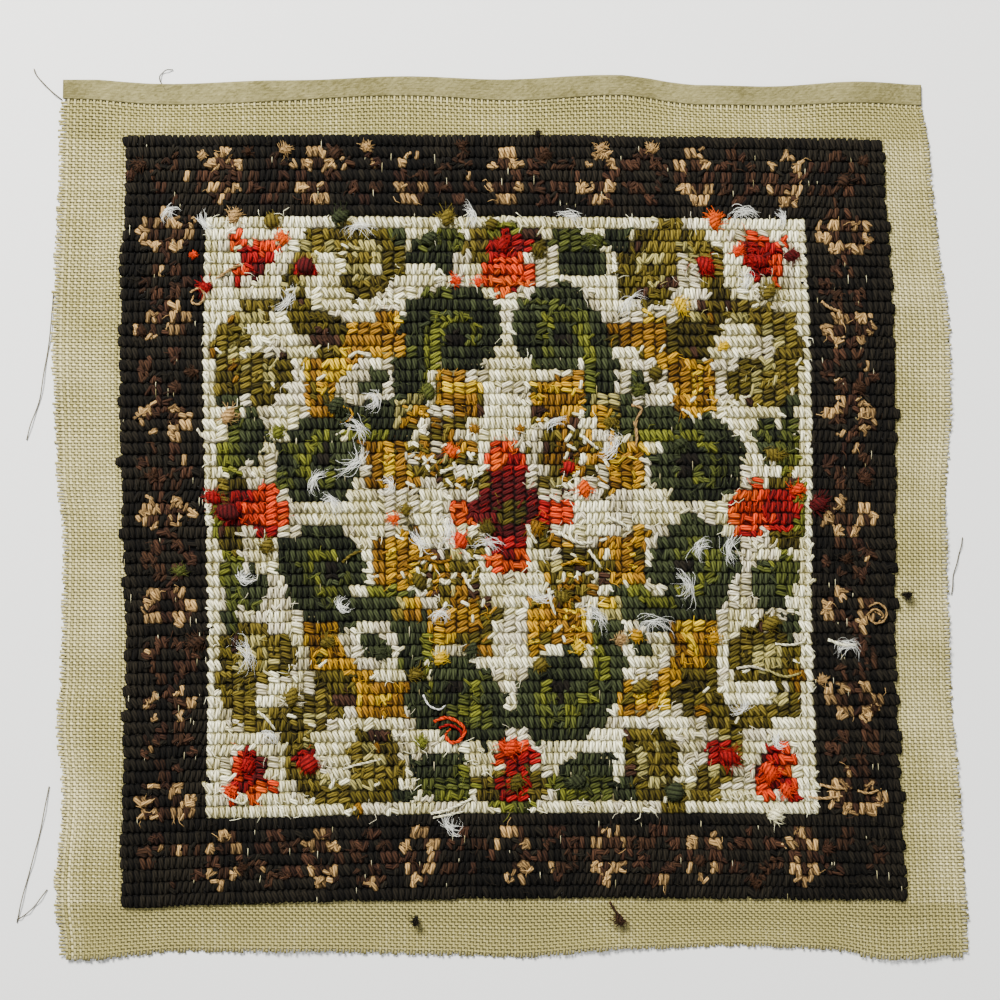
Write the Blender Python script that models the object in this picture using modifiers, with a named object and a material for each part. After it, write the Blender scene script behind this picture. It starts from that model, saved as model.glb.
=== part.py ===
"""A needlepoint canvas panel, lying on a table with its wrong side up.

Metres, +Z up, the panel flat in XY with the photo's right at +X and its top at +Y.
The origin is the middle of the panel's box, on the table.
The canvas is one sheet, the wrong side of the wool is ribbed bands above it, and the
right side of the wool is one thin layer below it, on which the panel rests.
"""
import math

import bmesh
import bpy

# Driving sizes of the canvas mesh and of the stitched area
MESH_PITCH = 0.00254            # one pair of canvas threads, ten pairs to the inch
STITCH_COLUMNS = 130
ROPE_ROWS = 64
BORDER_COLUMNS = 14
BORDER_ROPES = 7
ROPE_TALL = 2 * MESH_PITCH      # the back of a stitch spans two pairs
HALF_WIDE = STITCH_COLUMNS * MESH_PITCH / 2
HALF_TALL = ROPE_ROWS * ROPE_TALL / 2

# How the panel lies: the stitched area's middle, and how far it is racked out of square
WORK_MIDDLE_X = 0.0016
WORK_MIDDLE_Y = -0.0025
RACK = 0.0018
SIDE_BOW = 0.0012
BOW_LENGTH = 0.23

# Bare canvas beside the stitched area: station along that side, width of canvas there
TOP_MARGIN = ((-0.193, 0.0270), (-0.148, 0.0243), (-0.095, 0.0256), (-0.046, 0.0278), (0.000, 0.0261),
              (0.050, 0.0283), (0.086, 0.0238), (0.115, 0.0230), (0.154, 0.0252), (0.185, 0.0238))
RIGHT_MARGIN = ((-0.185, 0.0237), (-0.110, 0.0230), (-0.053, 0.0221), (0.004, 0.0209), (0.040, 0.0229),
                (0.075, 0.0240), (0.105, 0.0214), (0.139, 0.0194), (0.186, 0.0163))
BOTTOM_MARGIN = ((-0.185, 0.0232), (-0.133, 0.0199), (-0.080, 0.0199), (-0.027, 0.0211), (-0.004, 0.0224),
                 (0.049, 0.0187), (0.096, 0.0174), (0.129, 0.0187), (0.156, 0.0232), (0.190, 0.0210))
LEFT_MARGIN = ((-0.187, 0.0218), (-0.144, 0.0255), (-0.110, 0.0236), (-0.077, 0.0273), (-0.058, 0.0261),
               (-0.003, 0.0244), (0.013, 0.0266), (0.096, 0.0285), (0.190, 0.0279))

# Layers, from the table up
LAYER_GAP = 0.0003
RIGHT_SIDE_THICK = 0.0011
CANVAS_THICK = 0.0010
CANVAS_LOW = RIGHT_SIDE_THICK + LAYER_GAP
CANVAS_MIDDLE = CANVAS_LOW + CANVAS_THICK / 2
WOOL_LOW = CANVAS_LOW + CANVAS_THICK + LAYER_GAP
ROPE_CREST = 0.0021             # height of a rope of stitches above the wool's underside
ROPE_GROOVE = 0.0013            # height left in the groove between two ropes
ROPE_EDGE = 0.0009              # height where a rope ends and turns down to the canvas
EDGE_ROLL = 0.0014              # width of that turn

# The margins sag off the stitched area and ripple where they lie loose
SAG_WIDTH = 0.012
RIPPLE_WIDTH = 0.024
RIPPLE_RISE = 0.0016
CREASE_Y = -0.056               # an old fold across the panel, which lifts both side margins
CREASE_RISE = 0.0012
CREASE_WIDTH = 0.010

# How finely each piece is divided
CANVAS_CELLS = 40
WORK_SHARE = 0.80               # share of the canvas cells that lie under the stitched area
FIELD_STRIPS = 13
LONG_BAND_STRIPS = 16
SHORT_BAND_STRIPS = 4
RIGHT_SIDE_CELLS = 32

COLOURS = {
    "canvas": ((0.552, 0.503, 0.296), 0.88),
    "field_wool": ((0.560, 0.500, 0.350), 0.95),
    "border_wool": ((0.018, 0.014, 0.011), 0.95),
    "right_side_wool": ((0.430, 0.380, 0.260), 0.95),
}


def clear_scene():
    """Remove every object that the opened file brings."""
    for item in list(bpy.data.objects):
        bpy.data.objects.remove(item, do_unlink=True)


def new_collection(name):
    """A collection in the scene for the panel's pieces."""
    made = bpy.data.collections.new(name)
    bpy.context.scene.collection.children.link(made)
    return made


def wool_or_canvas(name):
    """A plain Principled material in the colour and roughness of the table above."""
    colour, rough = COLOURS[name]
    made = bpy.data.materials.new(name)
    made.use_nodes = True
    shader = made.node_tree.nodes["Principled BSDF"]
    shader.inputs["Base Color"].default_value = (*colour, 1.0)
    shader.inputs["Roughness"].default_value = rough
    shader.inputs["Metallic"].default_value = 0.0
    return made


def read_table(table, station):
    """The width at a station, along smooth steps between the rows of a table."""
    if station <= table[0][0]:
        return table[0][1]
    for (start, low), (end, high) in zip(table, table[1:]):
        if station <= end:
            share = (station - start) / (end - start)
            smooth = share * share * (3 - 2 * share)
            return low + (high - low) * smooth
    return table[-1][1]


def lie(u, v):
    """Where a point of the flat cloth lies on the table; u and v run from the work's middle."""
    across = u / HALF_WIDE
    along = v / HALF_TALL
    bow = SIDE_BOW * across * math.sin(2 * math.pi * v / BOW_LENGTH)
    return WORK_MIDDLE_X + u - RACK * along + bow, WORK_MIDDLE_Y + v


def canvas_uv(a, b):
    """The flat place of a grid point at a, b in -1 to 1, with the margins at their own widths."""
    v_near = b * (HALF_TALL + 0.024)
    side = RIGHT_MARGIN if a > 0 else LEFT_MARGIN
    u = spread(a, HALF_WIDE, read_table(side, v_near))
    end = TOP_MARGIN if b > 0 else BOTTOM_MARGIN
    v = spread(b, HALF_TALL, read_table(end, u))
    return u, v


def spread(share, half, margin):
    """Grid share to distance: evenly over the stitched half, then evenly over its margin."""
    size = abs(share)
    if size <= WORK_SHARE:
        reach = half * size / WORK_SHARE
    else:
        reach = half + margin * (size - WORK_SHARE) / (1 - WORK_SHARE)
    return math.copysign(reach, share)


def ease(share):
    """A smooth step from 0 to 1."""
    share = min(max(share, 0.0), 1.0)
    return share * share * (3 - 2 * share)


def canvas_height(u, v):
    """Middle height of the canvas: flat under the work, sagging and rippled in the margins."""
    beyond_u = max(abs(u) - HALF_WIDE, 0.0)
    beyond_v = max(abs(v) - HALF_TALL, 0.0)
    beyond = math.hypot(beyond_u, beyond_v)
    sag = (CANVAS_MIDDLE - CANVAS_THICK / 2) * ease(beyond / SAG_WIDTH)
    wave = 0.5 + 0.32 * math.sin(52.0 * u + 71.0 * v) + 0.18 * math.sin(118.0 * v - 95.0 * u + 1.3)
    ripple = RIPPLE_RISE * wave * ease(beyond / RIPPLE_WIDTH)
    fold = CREASE_RISE * math.exp(-((v - CREASE_Y) / CREASE_WIDTH) ** 2) * ease(beyond_u / SAG_WIDTH)
    return CANVAS_MIDDLE - sag + ripple + fold


def rope_end(row):
    """How far one rope of stitches stops short of, or runs past, the edge of the work."""
    return 0.0004 * math.sin(2.3 * row + 0.4) + 0.0003 * math.sin(5.1 * row)


def finish_mesh(bm, name, material, home):
    """Turn a bmesh into a named object with one material in the panel's collection."""
    bmesh.ops.recalc_face_normals(bm, faces=bm.faces)
    mesh = bpy.data.meshes.new(name)
    bm.to_mesh(mesh)
    bm.free()
    mesh.materials.append(material)
    item = bpy.data.objects.new(name, mesh)
    home.objects.link(item)
    return item


def make_canvas(material, home):
    """The canvas: one open sheet in its true outline, thickened evenly by Solidify."""
    bm = bmesh.new()
    bmesh.ops.create_grid(bm, x_segments=CANVAS_CELLS, y_segments=CANVAS_CELLS, size=1.0)
    for point in bm.verts:
        u, v = canvas_uv(point.co.x, point.co.y)
        x, y = lie(u, v)
        point.co = (x, y, canvas_height(u, v))
    canvas = finish_mesh(bm, "canvas", material, home)
    shell = canvas.modifiers.new("cloth thickness", "SOLIDIFY")
    shell.thickness = CANVAS_THICK
    shell.offset = 0.0
    return canvas


def close_below(bm, low):
    """Drop a skirt from the rim of an open surface and close it with one flat face."""
    rim = [edge for edge in bm.edges if edge.is_boundary]
    skirt = bmesh.ops.extrude_edge_only(bm, edges=rim)["geom"]
    for part in skirt:
        if isinstance(part, bmesh.types.BMVert):
            part.co.z = low
    foot = [part for part in skirt if isinstance(part, bmesh.types.BMEdge)]
    bmesh.ops.holes_fill(bm, edges=foot, sides=0)


def strip_places(low, high, count, roll_low, roll_high):
    """Places across a band: even strips, with a narrow rolled one at each outer edge."""
    start = low + (EDGE_ROLL if roll_low else 0.0)
    stop = high - (EDGE_ROLL if roll_high else 0.0)
    places = [start + (stop - start) * step / count for step in range(count + 1)]
    if roll_low:
        places.insert(0, low)
    if roll_high:
        places.append(high)
    return places


def rope_profile(first_rope, last_rope, roll_low, roll_high):
    """Rows up a band, as place, height and rope: a groove, then the rope's two shoulders."""
    rows = []
    for rope in range(first_rope, last_rope):
        start = -HALF_TALL + rope * ROPE_TALL
        groove = ROPE_EDGE if roll_low and rope == first_rope else ROPE_GROOVE
        rows.append((start, groove, rope))
        rows.append((start + 0.28 * ROPE_TALL, ROPE_CREST, rope))
        rows.append((start + 0.72 * ROPE_TALL, ROPE_CREST, rope))
    top = -HALF_TALL + last_rope * ROPE_TALL
    rows.append((top, ROPE_EDGE if roll_high else ROPE_GROOVE, last_rope))
    return rows


def make_ribbed_band(name, columns, ropes, strips, material, home):
    """A band of wool on the wrong side: its ropes raised in the top, its underside flat."""
    first_column, last_column = columns
    first_rope, last_rope = ropes
    low_u = -HALF_WIDE + first_column * MESH_PITCH
    high_u = -HALF_WIDE + last_column * MESH_PITCH
    outer_left = first_column == 0
    outer_right = last_column == STITCH_COLUMNS
    places = strip_places(low_u, high_u, strips, outer_left, outer_right)
    rows = rope_profile(first_rope, last_rope, first_rope == 0, last_rope == ROPE_ROWS)
    across = len(places) - 1
    upward = len(rows) - 1
    bm = bmesh.new()
    bmesh.ops.create_grid(bm, x_segments=across, y_segments=upward, size=1.0)
    for point in bm.verts:
        column = round((point.co.x + 1) / 2 * across)
        step = round((point.co.y + 1) / 2 * upward)
        v, height, rope = rows[step]
        u = places[column]
        if column == 0:
            u += -rope_end(rope) if outer_left else LAYER_GAP / 2
        if column == across:
            u += rope_end(rope + 7) if outer_right else -LAYER_GAP / 2
        if (outer_left and column == 0) or (outer_right and column == across):
            height = min(height, ROPE_EDGE)
        if step == 0 and first_rope > 0:
            v += LAYER_GAP / 2
        if step == upward and last_rope < ROPE_ROWS:
            v -= LAYER_GAP / 2
        x, y = lie(u, v)
        point.co = (x, y, WOOL_LOW + height)
    close_below(bm, WOOL_LOW)
    return finish_mesh(bm, name, material, home)


def make_right_side(material, home):
    """The right side of the work, a thin even layer under the canvas, flat on the table."""
    bm = bmesh.new()
    bmesh.ops.create_grid(bm, x_segments=RIGHT_SIDE_CELLS, y_segments=RIGHT_SIDE_CELLS, size=1.0)
    for point in bm.verts:
        x, y = lie(point.co.x * HALF_WIDE, point.co.y * HALF_TALL)
        point.co = (x, y, RIGHT_SIDE_THICK)
    bmesh.ops.dissolve_limit(bm, angle_limit=0.001, verts=bm.verts, edges=bm.edges)
    close_below(bm, 0.0)
    return finish_mesh(bm, "right_side_stitching", material, home)


def build_panel():
    """Every piece of the panel, each a named closed solid of its own."""
    clear_scene()
    panel = new_collection("needlepoint_canvas_panel")
    canvas_cloth = wool_or_canvas("canvas")
    field_wool = wool_or_canvas("field_wool")
    border_wool = wool_or_canvas("border_wool")
    under_wool = wool_or_canvas("right_side_wool")
    inner_columns = (BORDER_COLUMNS, STITCH_COLUMNS - BORDER_COLUMNS)
    inner_ropes = (BORDER_ROPES, ROPE_ROWS - BORDER_ROPES)
    all_columns = (0, STITCH_COLUMNS)
    make_canvas(canvas_cloth, panel)
    make_right_side(under_wool, panel)
    make_ribbed_band("field_stitching", inner_columns, inner_ropes, FIELD_STRIPS, field_wool, panel)
    make_ribbed_band("border_bottom", all_columns, (0, BORDER_ROPES), LONG_BAND_STRIPS, border_wool, panel)
    make_ribbed_band("border_top", all_columns, (ROPE_ROWS - BORDER_ROPES, ROPE_ROWS), LONG_BAND_STRIPS,
                     border_wool, panel)
    make_ribbed_band("border_left", (0, BORDER_COLUMNS), inner_ropes, SHORT_BAND_STRIPS, border_wool, panel)
    make_ribbed_band("border_right", (STITCH_COLUMNS - BORDER_COLUMNS, STITCH_COLUMNS), inner_ropes,
                     SHORT_BAND_STRIPS, border_wool, panel)


build_panel()
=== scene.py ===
"""Looks of a needlepoint canvas panel that lies on a table with its wrong side up.

The wrong side of every stitch is its own short length of yarn, in ropes across the panel.
The bare margins are woven thread by thread, and cut yarn ends and fluff lie on top.
The right side of the stitches is under the canvas.
"""
import math

import bmesh
import bpy
import numpy as np
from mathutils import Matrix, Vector
from mathutils.bvhtree import BVHTree


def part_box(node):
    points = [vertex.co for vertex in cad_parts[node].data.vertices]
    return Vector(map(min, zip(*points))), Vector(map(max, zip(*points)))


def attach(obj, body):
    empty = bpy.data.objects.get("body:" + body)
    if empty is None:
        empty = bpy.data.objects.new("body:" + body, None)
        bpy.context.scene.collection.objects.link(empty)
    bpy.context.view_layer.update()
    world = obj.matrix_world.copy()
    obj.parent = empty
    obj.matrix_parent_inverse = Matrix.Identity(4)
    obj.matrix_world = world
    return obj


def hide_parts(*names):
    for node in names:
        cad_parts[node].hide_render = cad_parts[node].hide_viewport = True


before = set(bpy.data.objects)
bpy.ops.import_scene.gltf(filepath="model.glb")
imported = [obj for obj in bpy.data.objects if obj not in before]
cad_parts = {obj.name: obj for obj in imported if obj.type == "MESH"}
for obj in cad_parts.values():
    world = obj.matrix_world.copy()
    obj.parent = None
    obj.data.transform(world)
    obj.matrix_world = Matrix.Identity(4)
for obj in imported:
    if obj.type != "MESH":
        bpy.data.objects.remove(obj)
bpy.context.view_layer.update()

MM = 0.001
BODY = "root"

# Driving sizes of the canvas and the work, as in the solids
PITCH = 2.54 * MM               # one pair of canvas threads
COLUMNS = 130
ROPES = 64
ROWS = 2 * ROPES
BORDER_COLUMNS = 14
BORDER_ROPES = 7
ROPE_TALL = 2 * PITCH
HALF_WIDE = COLUMNS * PITCH / 2
HALF_TALL = ROPES * ROPE_TALL / 2
WORK_MIDDLE_X = 1.6 * MM
WORK_MIDDLE_Y = -2.5 * MM
RACK = 1.8 * MM
SIDE_BOW = 1.2 * MM
BOW_LENGTH = 230 * MM

# Layers, from the frame's own nodes
RIGHT_SIDE_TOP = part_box("right_side_stitching")[1].z
WOOL_LOW, WOOL_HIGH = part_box("field_stitching")[0].z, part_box("field_stitching")[1].z
CANVAS_THICK = 1.0 * MM
CANVAS_MIDDLE = (RIGHT_SIDE_TOP + WOOL_LOW) / 2
SAG_WIDTH = 12 * MM
RIPPLE_WIDTH = 24 * MM
RIPPLE_RISE = 1.6 * MM
CREASE_Y = -56 * MM
CREASE_RISE = 1.2 * MM
CREASE_WIDTH = 10 * MM

# The photo's own scale, for what is placed in it
PHOTO_MIDDLE = (514, 513)
PHOTO_PIXEL = 0.428 * MM

rng = np.random.default_rng(64130)


# Colours of the yarns, dark and light turns of each dye lot; the dark turn also gives the painted shade at
# the ends and down the sides of each stitch
YARNS = {
    "ivory": ("aaa06a", "fffad2"),
    "oatmeal": ("837a52", "dad1b2"),
    "black_brown": ("040302", "1c1810"),
    "dark_brown": ("120904", "3a2618"),
    "rust_brown": ("170b07", "412a1c"),
    "tan": ("3c2b17", "b8935c"),
    "dark_olive": ("1a1605", "524812"),
    "olive": ("292207", "6b5d1e"),
    "light_olive": ("464219", "a89d5c"),
    "dark_green": ("090b06", "353b22"),
    "mid_green": ("141807", "4c511f"),
    "lime": ("2b2e0a", "696b20"),
    "gold": ("3c2802", "bd8c12"),
    "ochre": ("2c1a02", "8c6214"),
    "yellow": ("664b04", "dfb91a"),
    "red_orange": ("620f02", "dc3c04"),
    "orange": ("742002", "dc5604"),
    "crimson": ("300305", "940d0f"),
    "maroon": ("180303", "551011"),
    "lint": ("b0b0a4", "fafaf0"),
}
NAMES = list(YARNS)
STRANDS = 4.0                   # twisted strands that show round one length of yarn
INDEX = {name: place for place, name in enumerate(NAMES)}


def linear(hex_colour):
    """An sRGB hex colour as linear RGBA."""
    parts = [int(hex_colour[at:at + 2], 16) / 255 for at in (0, 2, 4)]
    return [p / 12.92 if p <= 0.04045 else ((p + 0.055) / 1.055) ** 2.4 for p in parts] + [1.0]


def add(tree, kind, links=(), **settings):
    """Add a node: links is (input, socket or value) pairs, settings are its properties."""
    node = tree.nodes.new(kind)
    for name, value in settings.items():
        setattr(node, name, value)
    for socket, value in links:
        if isinstance(value, bpy.types.NodeSocket):
            tree.links.new(value, node.inputs[socket])
        else:
            node.inputs[socket].default_value = value
    return node


def new_material(name, roughness, sheen):
    """An empty material with one Principled shader, whose even values are set on its sockets."""
    made = bpy.data.materials.new(name)
    made.use_nodes = True
    shader = made.node_tree.nodes["Principled BSDF"]
    shader.inputs["Roughness"].default_value = roughness
    shader.inputs["Sheen Weight"].default_value = sheen
    shader.inputs["Sheen Roughness"].default_value = 0.45
    shader.inputs["Specular IOR Level"].default_value = 0.12
    return made, made.node_tree, shader


def tapestry_wool(name, dark, light):
    """Worsted wool: matt, streaked by its twisted strands, with shade caught between them."""
    made, tree, shader = new_material("tapestry_wool_" + name, 0.95, 0.02)
    shader.inputs["Sheen Tint"].default_value = linear(light)
    place = add(tree, "ShaderNodeUVMap", uv_map="yarn")
    apart = add(tree, "ShaderNodeSeparateXYZ", [(0, place.outputs[0])])
    turn = add(tree, "ShaderNodeMath", [(0, apart.outputs["Y"]), (1, STRANDS)], operation="MULTIPLY")
    twist = add(tree, "ShaderNodeMath", [(0, apart.outputs["X"]), (1, 1.1), (2, turn.outputs[0])],
                operation="MULTIPLY_ADD")
    phase = add(tree, "ShaderNodeMath", [(0, twist.outputs[0]), (1, math.tau)], operation="MULTIPLY")
    wave = add(tree, "ShaderNodeMath", [(0, phase.outputs[0])], operation="SINE")
    strand = add(tree, "ShaderNodeMapRange", [("Value", wave.outputs[0]), ("From Min", -0.9),
                                              ("From Max", 0.1)])
    # each point's dye, with painted shade towards the stitch's ends and down its sides
    dye_and_shade = add(tree, "ShaderNodeAttribute", attribute_name="dye_and_shade")
    drawn = add(tree, "ShaderNodeMapping", [(0, place.outputs[0]), (3, (2.5, 22.0, 1.0))])
    fibre = add(tree, "ShaderNodeTexNoise", [("Vector", drawn.outputs[0]), ("W", dye_and_shade.outputs["Fac"]),
                                             ("Scale", 1.0), ("Detail", 2.0)], noise_dimensions="4D")
    level = add(tree, "ShaderNodeMath", [(0, fibre.outputs["Fac"]), (1, 1.5), (2, dye_and_shade.outputs["Fac"])],
                operation="MULTIPLY_ADD")
    even = add(tree, "ShaderNodeMapRange", [("Value", level.outputs[0]), ("From Min", 0.45),
                                            ("From Max", 1.5)])
    dyed = add(tree, "ShaderNodeMix", [("Factor", even.outputs[0]), (6, linear(dark)), (7, linear(light))],
               data_type="RGBA")
    groove = add(tree, "ShaderNodeMapRange", [("Value", strand.outputs[0]), ("To Min", 0.36),
                                              ("To Max", 1.0)])
    colour = add(tree, "ShaderNodeMix", [("Factor", 1.0), (6, dyed.outputs[2]), (7, groove.outputs[0])],
                 data_type="RGBA", blend_type="MULTIPLY")
    tree.links.new(colour.outputs[2], shader.inputs["Base Color"])
    relief = add(tree, "ShaderNodeMath", [(0, fibre.outputs["Fac"]), (1, 0.5), (2, strand.outputs[0])],
                 operation="MULTIPLY_ADD")
    bump = add(tree, "ShaderNodeBump", [("Strength", 1.0), ("Distance", 0.4 * MM),
                                        ("Height", relief.outputs[0])])
    tree.links.new(bump.outputs[0], shader.inputs["Normal"])
    return made


def packed_wool():
    """The wool deep between the stitches: the colour of the yarn above it, dulled by shade."""
    made, tree, shader = new_material("packed_wool", 1.0, 0.0)
    dye_and_shade = add(tree, "ShaderNodeAttribute", attribute_name="yarn_colour")
    place = add(tree, "ShaderNodeTexCoord")
    fluff = add(tree, "ShaderNodeTexNoise", [("Vector", place.outputs["Object"]), ("Scale", 900.0)])
    tone = add(tree, "ShaderNodeMapRange", [("Value", fluff.outputs["Fac"]), ("To Min", 0.5),
                                            ("To Max", 1.2)])
    colour = add(tree, "ShaderNodeMix", [("Factor", 1.0), (6, dye_and_shade.outputs["Color"]), (7, tone.outputs[0])],
                 data_type="RGBA", blend_type="MULTIPLY")
    tree.links.new(colour.outputs[2], shader.inputs["Base Color"])
    return made


def cotton_canvas(name, dark, light, fine):
    """Stiff unbleached cotton: khaki, with a painted highlight where a thread's knuckle stands up."""
    made, tree, shader = new_material("cotton_canvas_" + name, 0.85, 0.03)
    place = add(tree, "ShaderNodeTexCoord")
    # each point's dye, with painted highlight on raised knuckles and painted shade beside the work and on the
    # strips under the slots
    rise = add(tree, "ShaderNodeAttribute", attribute_name="dye_and_shade")
    broad = add(tree, "ShaderNodeTexNoise", [("Vector", place.outputs["Object"]), ("Scale", 28.0),
                                             ("Detail", 2.0)])
    small = add(tree, "ShaderNodeTexNoise", [("Vector", place.outputs["Object"]), ("Scale", fine),
                                             ("Detail", 3.0)])
    both = add(tree, "ShaderNodeMath", [(0, small.outputs["Fac"]), (1, 0.6), (2, broad.outputs["Fac"])],
               operation="MULTIPLY_ADD")
    level = add(tree, "ShaderNodeMath", [(0, both.outputs[0]), (1, rise.outputs["Fac"])], operation="ADD")
    even = add(tree, "ShaderNodeMapRange", [("Value", level.outputs[0]), ("From Min", 0.8),
                                            ("From Max", 1.9)])
    colour = add(tree, "ShaderNodeMix", [("Factor", even.outputs[0]), (6, linear(dark)), (7, linear(light))],
                 data_type="RGBA")
    tree.links.new(colour.outputs[2], shader.inputs["Base Color"])
    bump = add(tree, "ShaderNodeBump", [("Strength", 0.5), ("Distance", 0.12 * MM),
                                        ("Height", small.outputs["Fac"])])
    tree.links.new(bump.outputs[0], shader.inputs["Normal"])
    return made


def plain_paint(name, colour):
    """The floor: smooth matt paint with a faint unevenness."""
    made, tree, shader = new_material(name, 0.7, 0.0)
    place = add(tree, "ShaderNodeTexCoord")
    cloud = add(tree, "ShaderNodeTexNoise", [("Vector", place.outputs["Object"]), ("Scale", 3.0)])
    tone = add(tree, "ShaderNodeMapRange", [("Value", cloud.outputs["Fac"]), ("To Min", 0.97),
                                            ("To Max", 1.0)])
    mixed = add(tree, "ShaderNodeMix", [("Factor", 1.0), (6, linear(colour)), (7, tone.outputs[0])],
                data_type="RGBA", blend_type="MULTIPLY")
    tree.links.new(mixed.outputs[2], shader.inputs["Base Color"])
    return made


# Where the cloth lies
def lie(u, v):
    """Place on the table of the flat cloth's point u, v, measured from the middle of the work."""
    bow = SIDE_BOW * (u / HALF_WIDE) * np.sin(math.tau * v / BOW_LENGTH)
    return WORK_MIDDLE_X + u - RACK * v / HALF_TALL + bow, WORK_MIDDLE_Y + v


DRAWN_IN = 0.991                # the pull of the yarn narrows the work
TOP_BOW = 1.1 * MM
TOP_LEAN = 0.9 * MM
BOTTOM_LEAN = 1.5 * MM
BOTTOM_BOW = 2.7 * MM
LOW_DRAW = 0.010                # and narrows it further towards the bottom


def lie_wool(u, v):
    """Place on the table of a point of the stitching, which its own pull draws in and tilts a little."""
    across = u / HALF_WIDE
    low_share = np.clip(0.5 - v / (2 * HALF_TALL), 0, 1)
    top = TOP_BOW * np.cos(across * math.pi / 2) - TOP_LEAN * across
    bottom = BOTTOM_BOW * np.cos(across * math.pi / 2) * low_share ** 3
    drawn = u * (DRAWN_IN - LOW_DRAW * low_share ** 2)
    return lie(drawn, v + BOTTOM_LEAN * across * low_share + top * (1 - low_share) + bottom)


def ease(share):
    """A smooth step from 0 to 1."""
    share = np.clip(share, 0.0, 1.0)
    return share * share * (3 - 2 * share)


def canvas_height(u, v):
    """Middle height of the canvas: flat under the work, sagging and rippled in the margins."""
    beyond_u = np.maximum(np.abs(u) - HALF_WIDE, 0.0)
    beyond_v = np.maximum(np.abs(v) - HALF_TALL, 0.0)
    beyond = np.hypot(beyond_u, beyond_v)
    sag = (CANVAS_MIDDLE - CANVAS_THICK / 2) * ease(beyond / SAG_WIDTH)
    wave = 0.5 + 0.32 * np.sin(52.0 * u + 71.0 * v) + 0.18 * np.sin(118.0 * v - 95.0 * u + 1.3)
    ripple = RIPPLE_RISE * wave * ease(beyond / RIPPLE_WIDTH)
    fold = CREASE_RISE * np.exp(-((v - CREASE_Y) / CREASE_WIDTH) ** 2) * ease(beyond_u / SAG_WIDTH)
    return CANVAS_MIDDLE - sag + ripple + fold


def feel_for_edge(canvas_tree, side, station):
    """How far the canvas of the frame reaches past the work on one side, found by touch."""
    near, far = 5 * MM, 45 * MM
    for _ in range(16):
        middle = (near + far) / 2
        reach = {"left": (-HALF_WIDE - middle, station), "right": (HALF_WIDE + middle, station),
                 "top": (station, HALF_TALL + middle), "bottom": (station, -HALF_TALL - middle)}[side]
        x, y = lie(*reach)
        hit = canvas_tree.ray_cast(Vector((x, y, 0.05)), Vector((0, 0, -1)))[0]
        near, far = (middle, far) if hit else (near, middle)
    return near


STATIONS = np.linspace(-0.196, 0.196, 99)


def measure_margins():
    """Width of bare canvas along each side, read off the frame's canvas node."""
    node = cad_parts["canvas"].data
    corners = [point.co.copy() for point in node.vertices]
    faces = [tuple(face.vertices) for face in node.polygons]
    tree = BVHTree.FromPolygons(corners, faces)
    inside = {"left": HALF_TALL + 15 * MM, "right": HALF_TALL + 12 * MM,
              "top": HALF_WIDE + 12 * MM, "bottom": HALF_WIDE + 12 * MM}
    found = {}
    for side, limit in inside.items():
        found[side] = np.array([feel_for_edge(tree, side, min(max(s, -limit), limit)) for s in STATIONS])
    return found


MARGINS = measure_margins()


def margin(side, station):
    """Measured width of bare canvas at a station along a side."""
    return np.interp(station, STATIONS, MARGINS[side])


LEFT_PAIRS, RIGHT_PAIRS, TOP_PAIRS, BOTTOM_PAIRS = 10, 9, 6, 8
SELVEDGE_WIDE = 8.5 * MM
SLOT_TALL = 1.1 * MM            # open row of slots between the mesh and the selvedge


def cloth_point(s, t):
    """Flat place of thread number s across and t up, counted in pairs from the work's corner."""
    v_near = (t - ROWS / 2) * PITCH
    left = s / LEFT_PAIRS * margin("left", v_near)
    right = (s - COLUMNS) / RIGHT_PAIRS * margin("right", v_near)
    u = np.where(s < 0, -HALF_WIDE + left, np.where(s > COLUMNS, HALF_WIDE + right,
                                                    -HALF_WIDE + s * PITCH))
    mesh_top = margin("top", u) - SELVEDGE_WIDE - SLOT_TALL
    up = (t - ROWS) / TOP_PAIRS * mesh_top
    down = t / BOTTOM_PAIRS * margin("bottom", u)
    v = np.where(t < 0, -HALF_TALL + down, np.where(t > ROWS, HALF_TALL + up, -HALF_TALL + t * PITCH))
    return u, v


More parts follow.
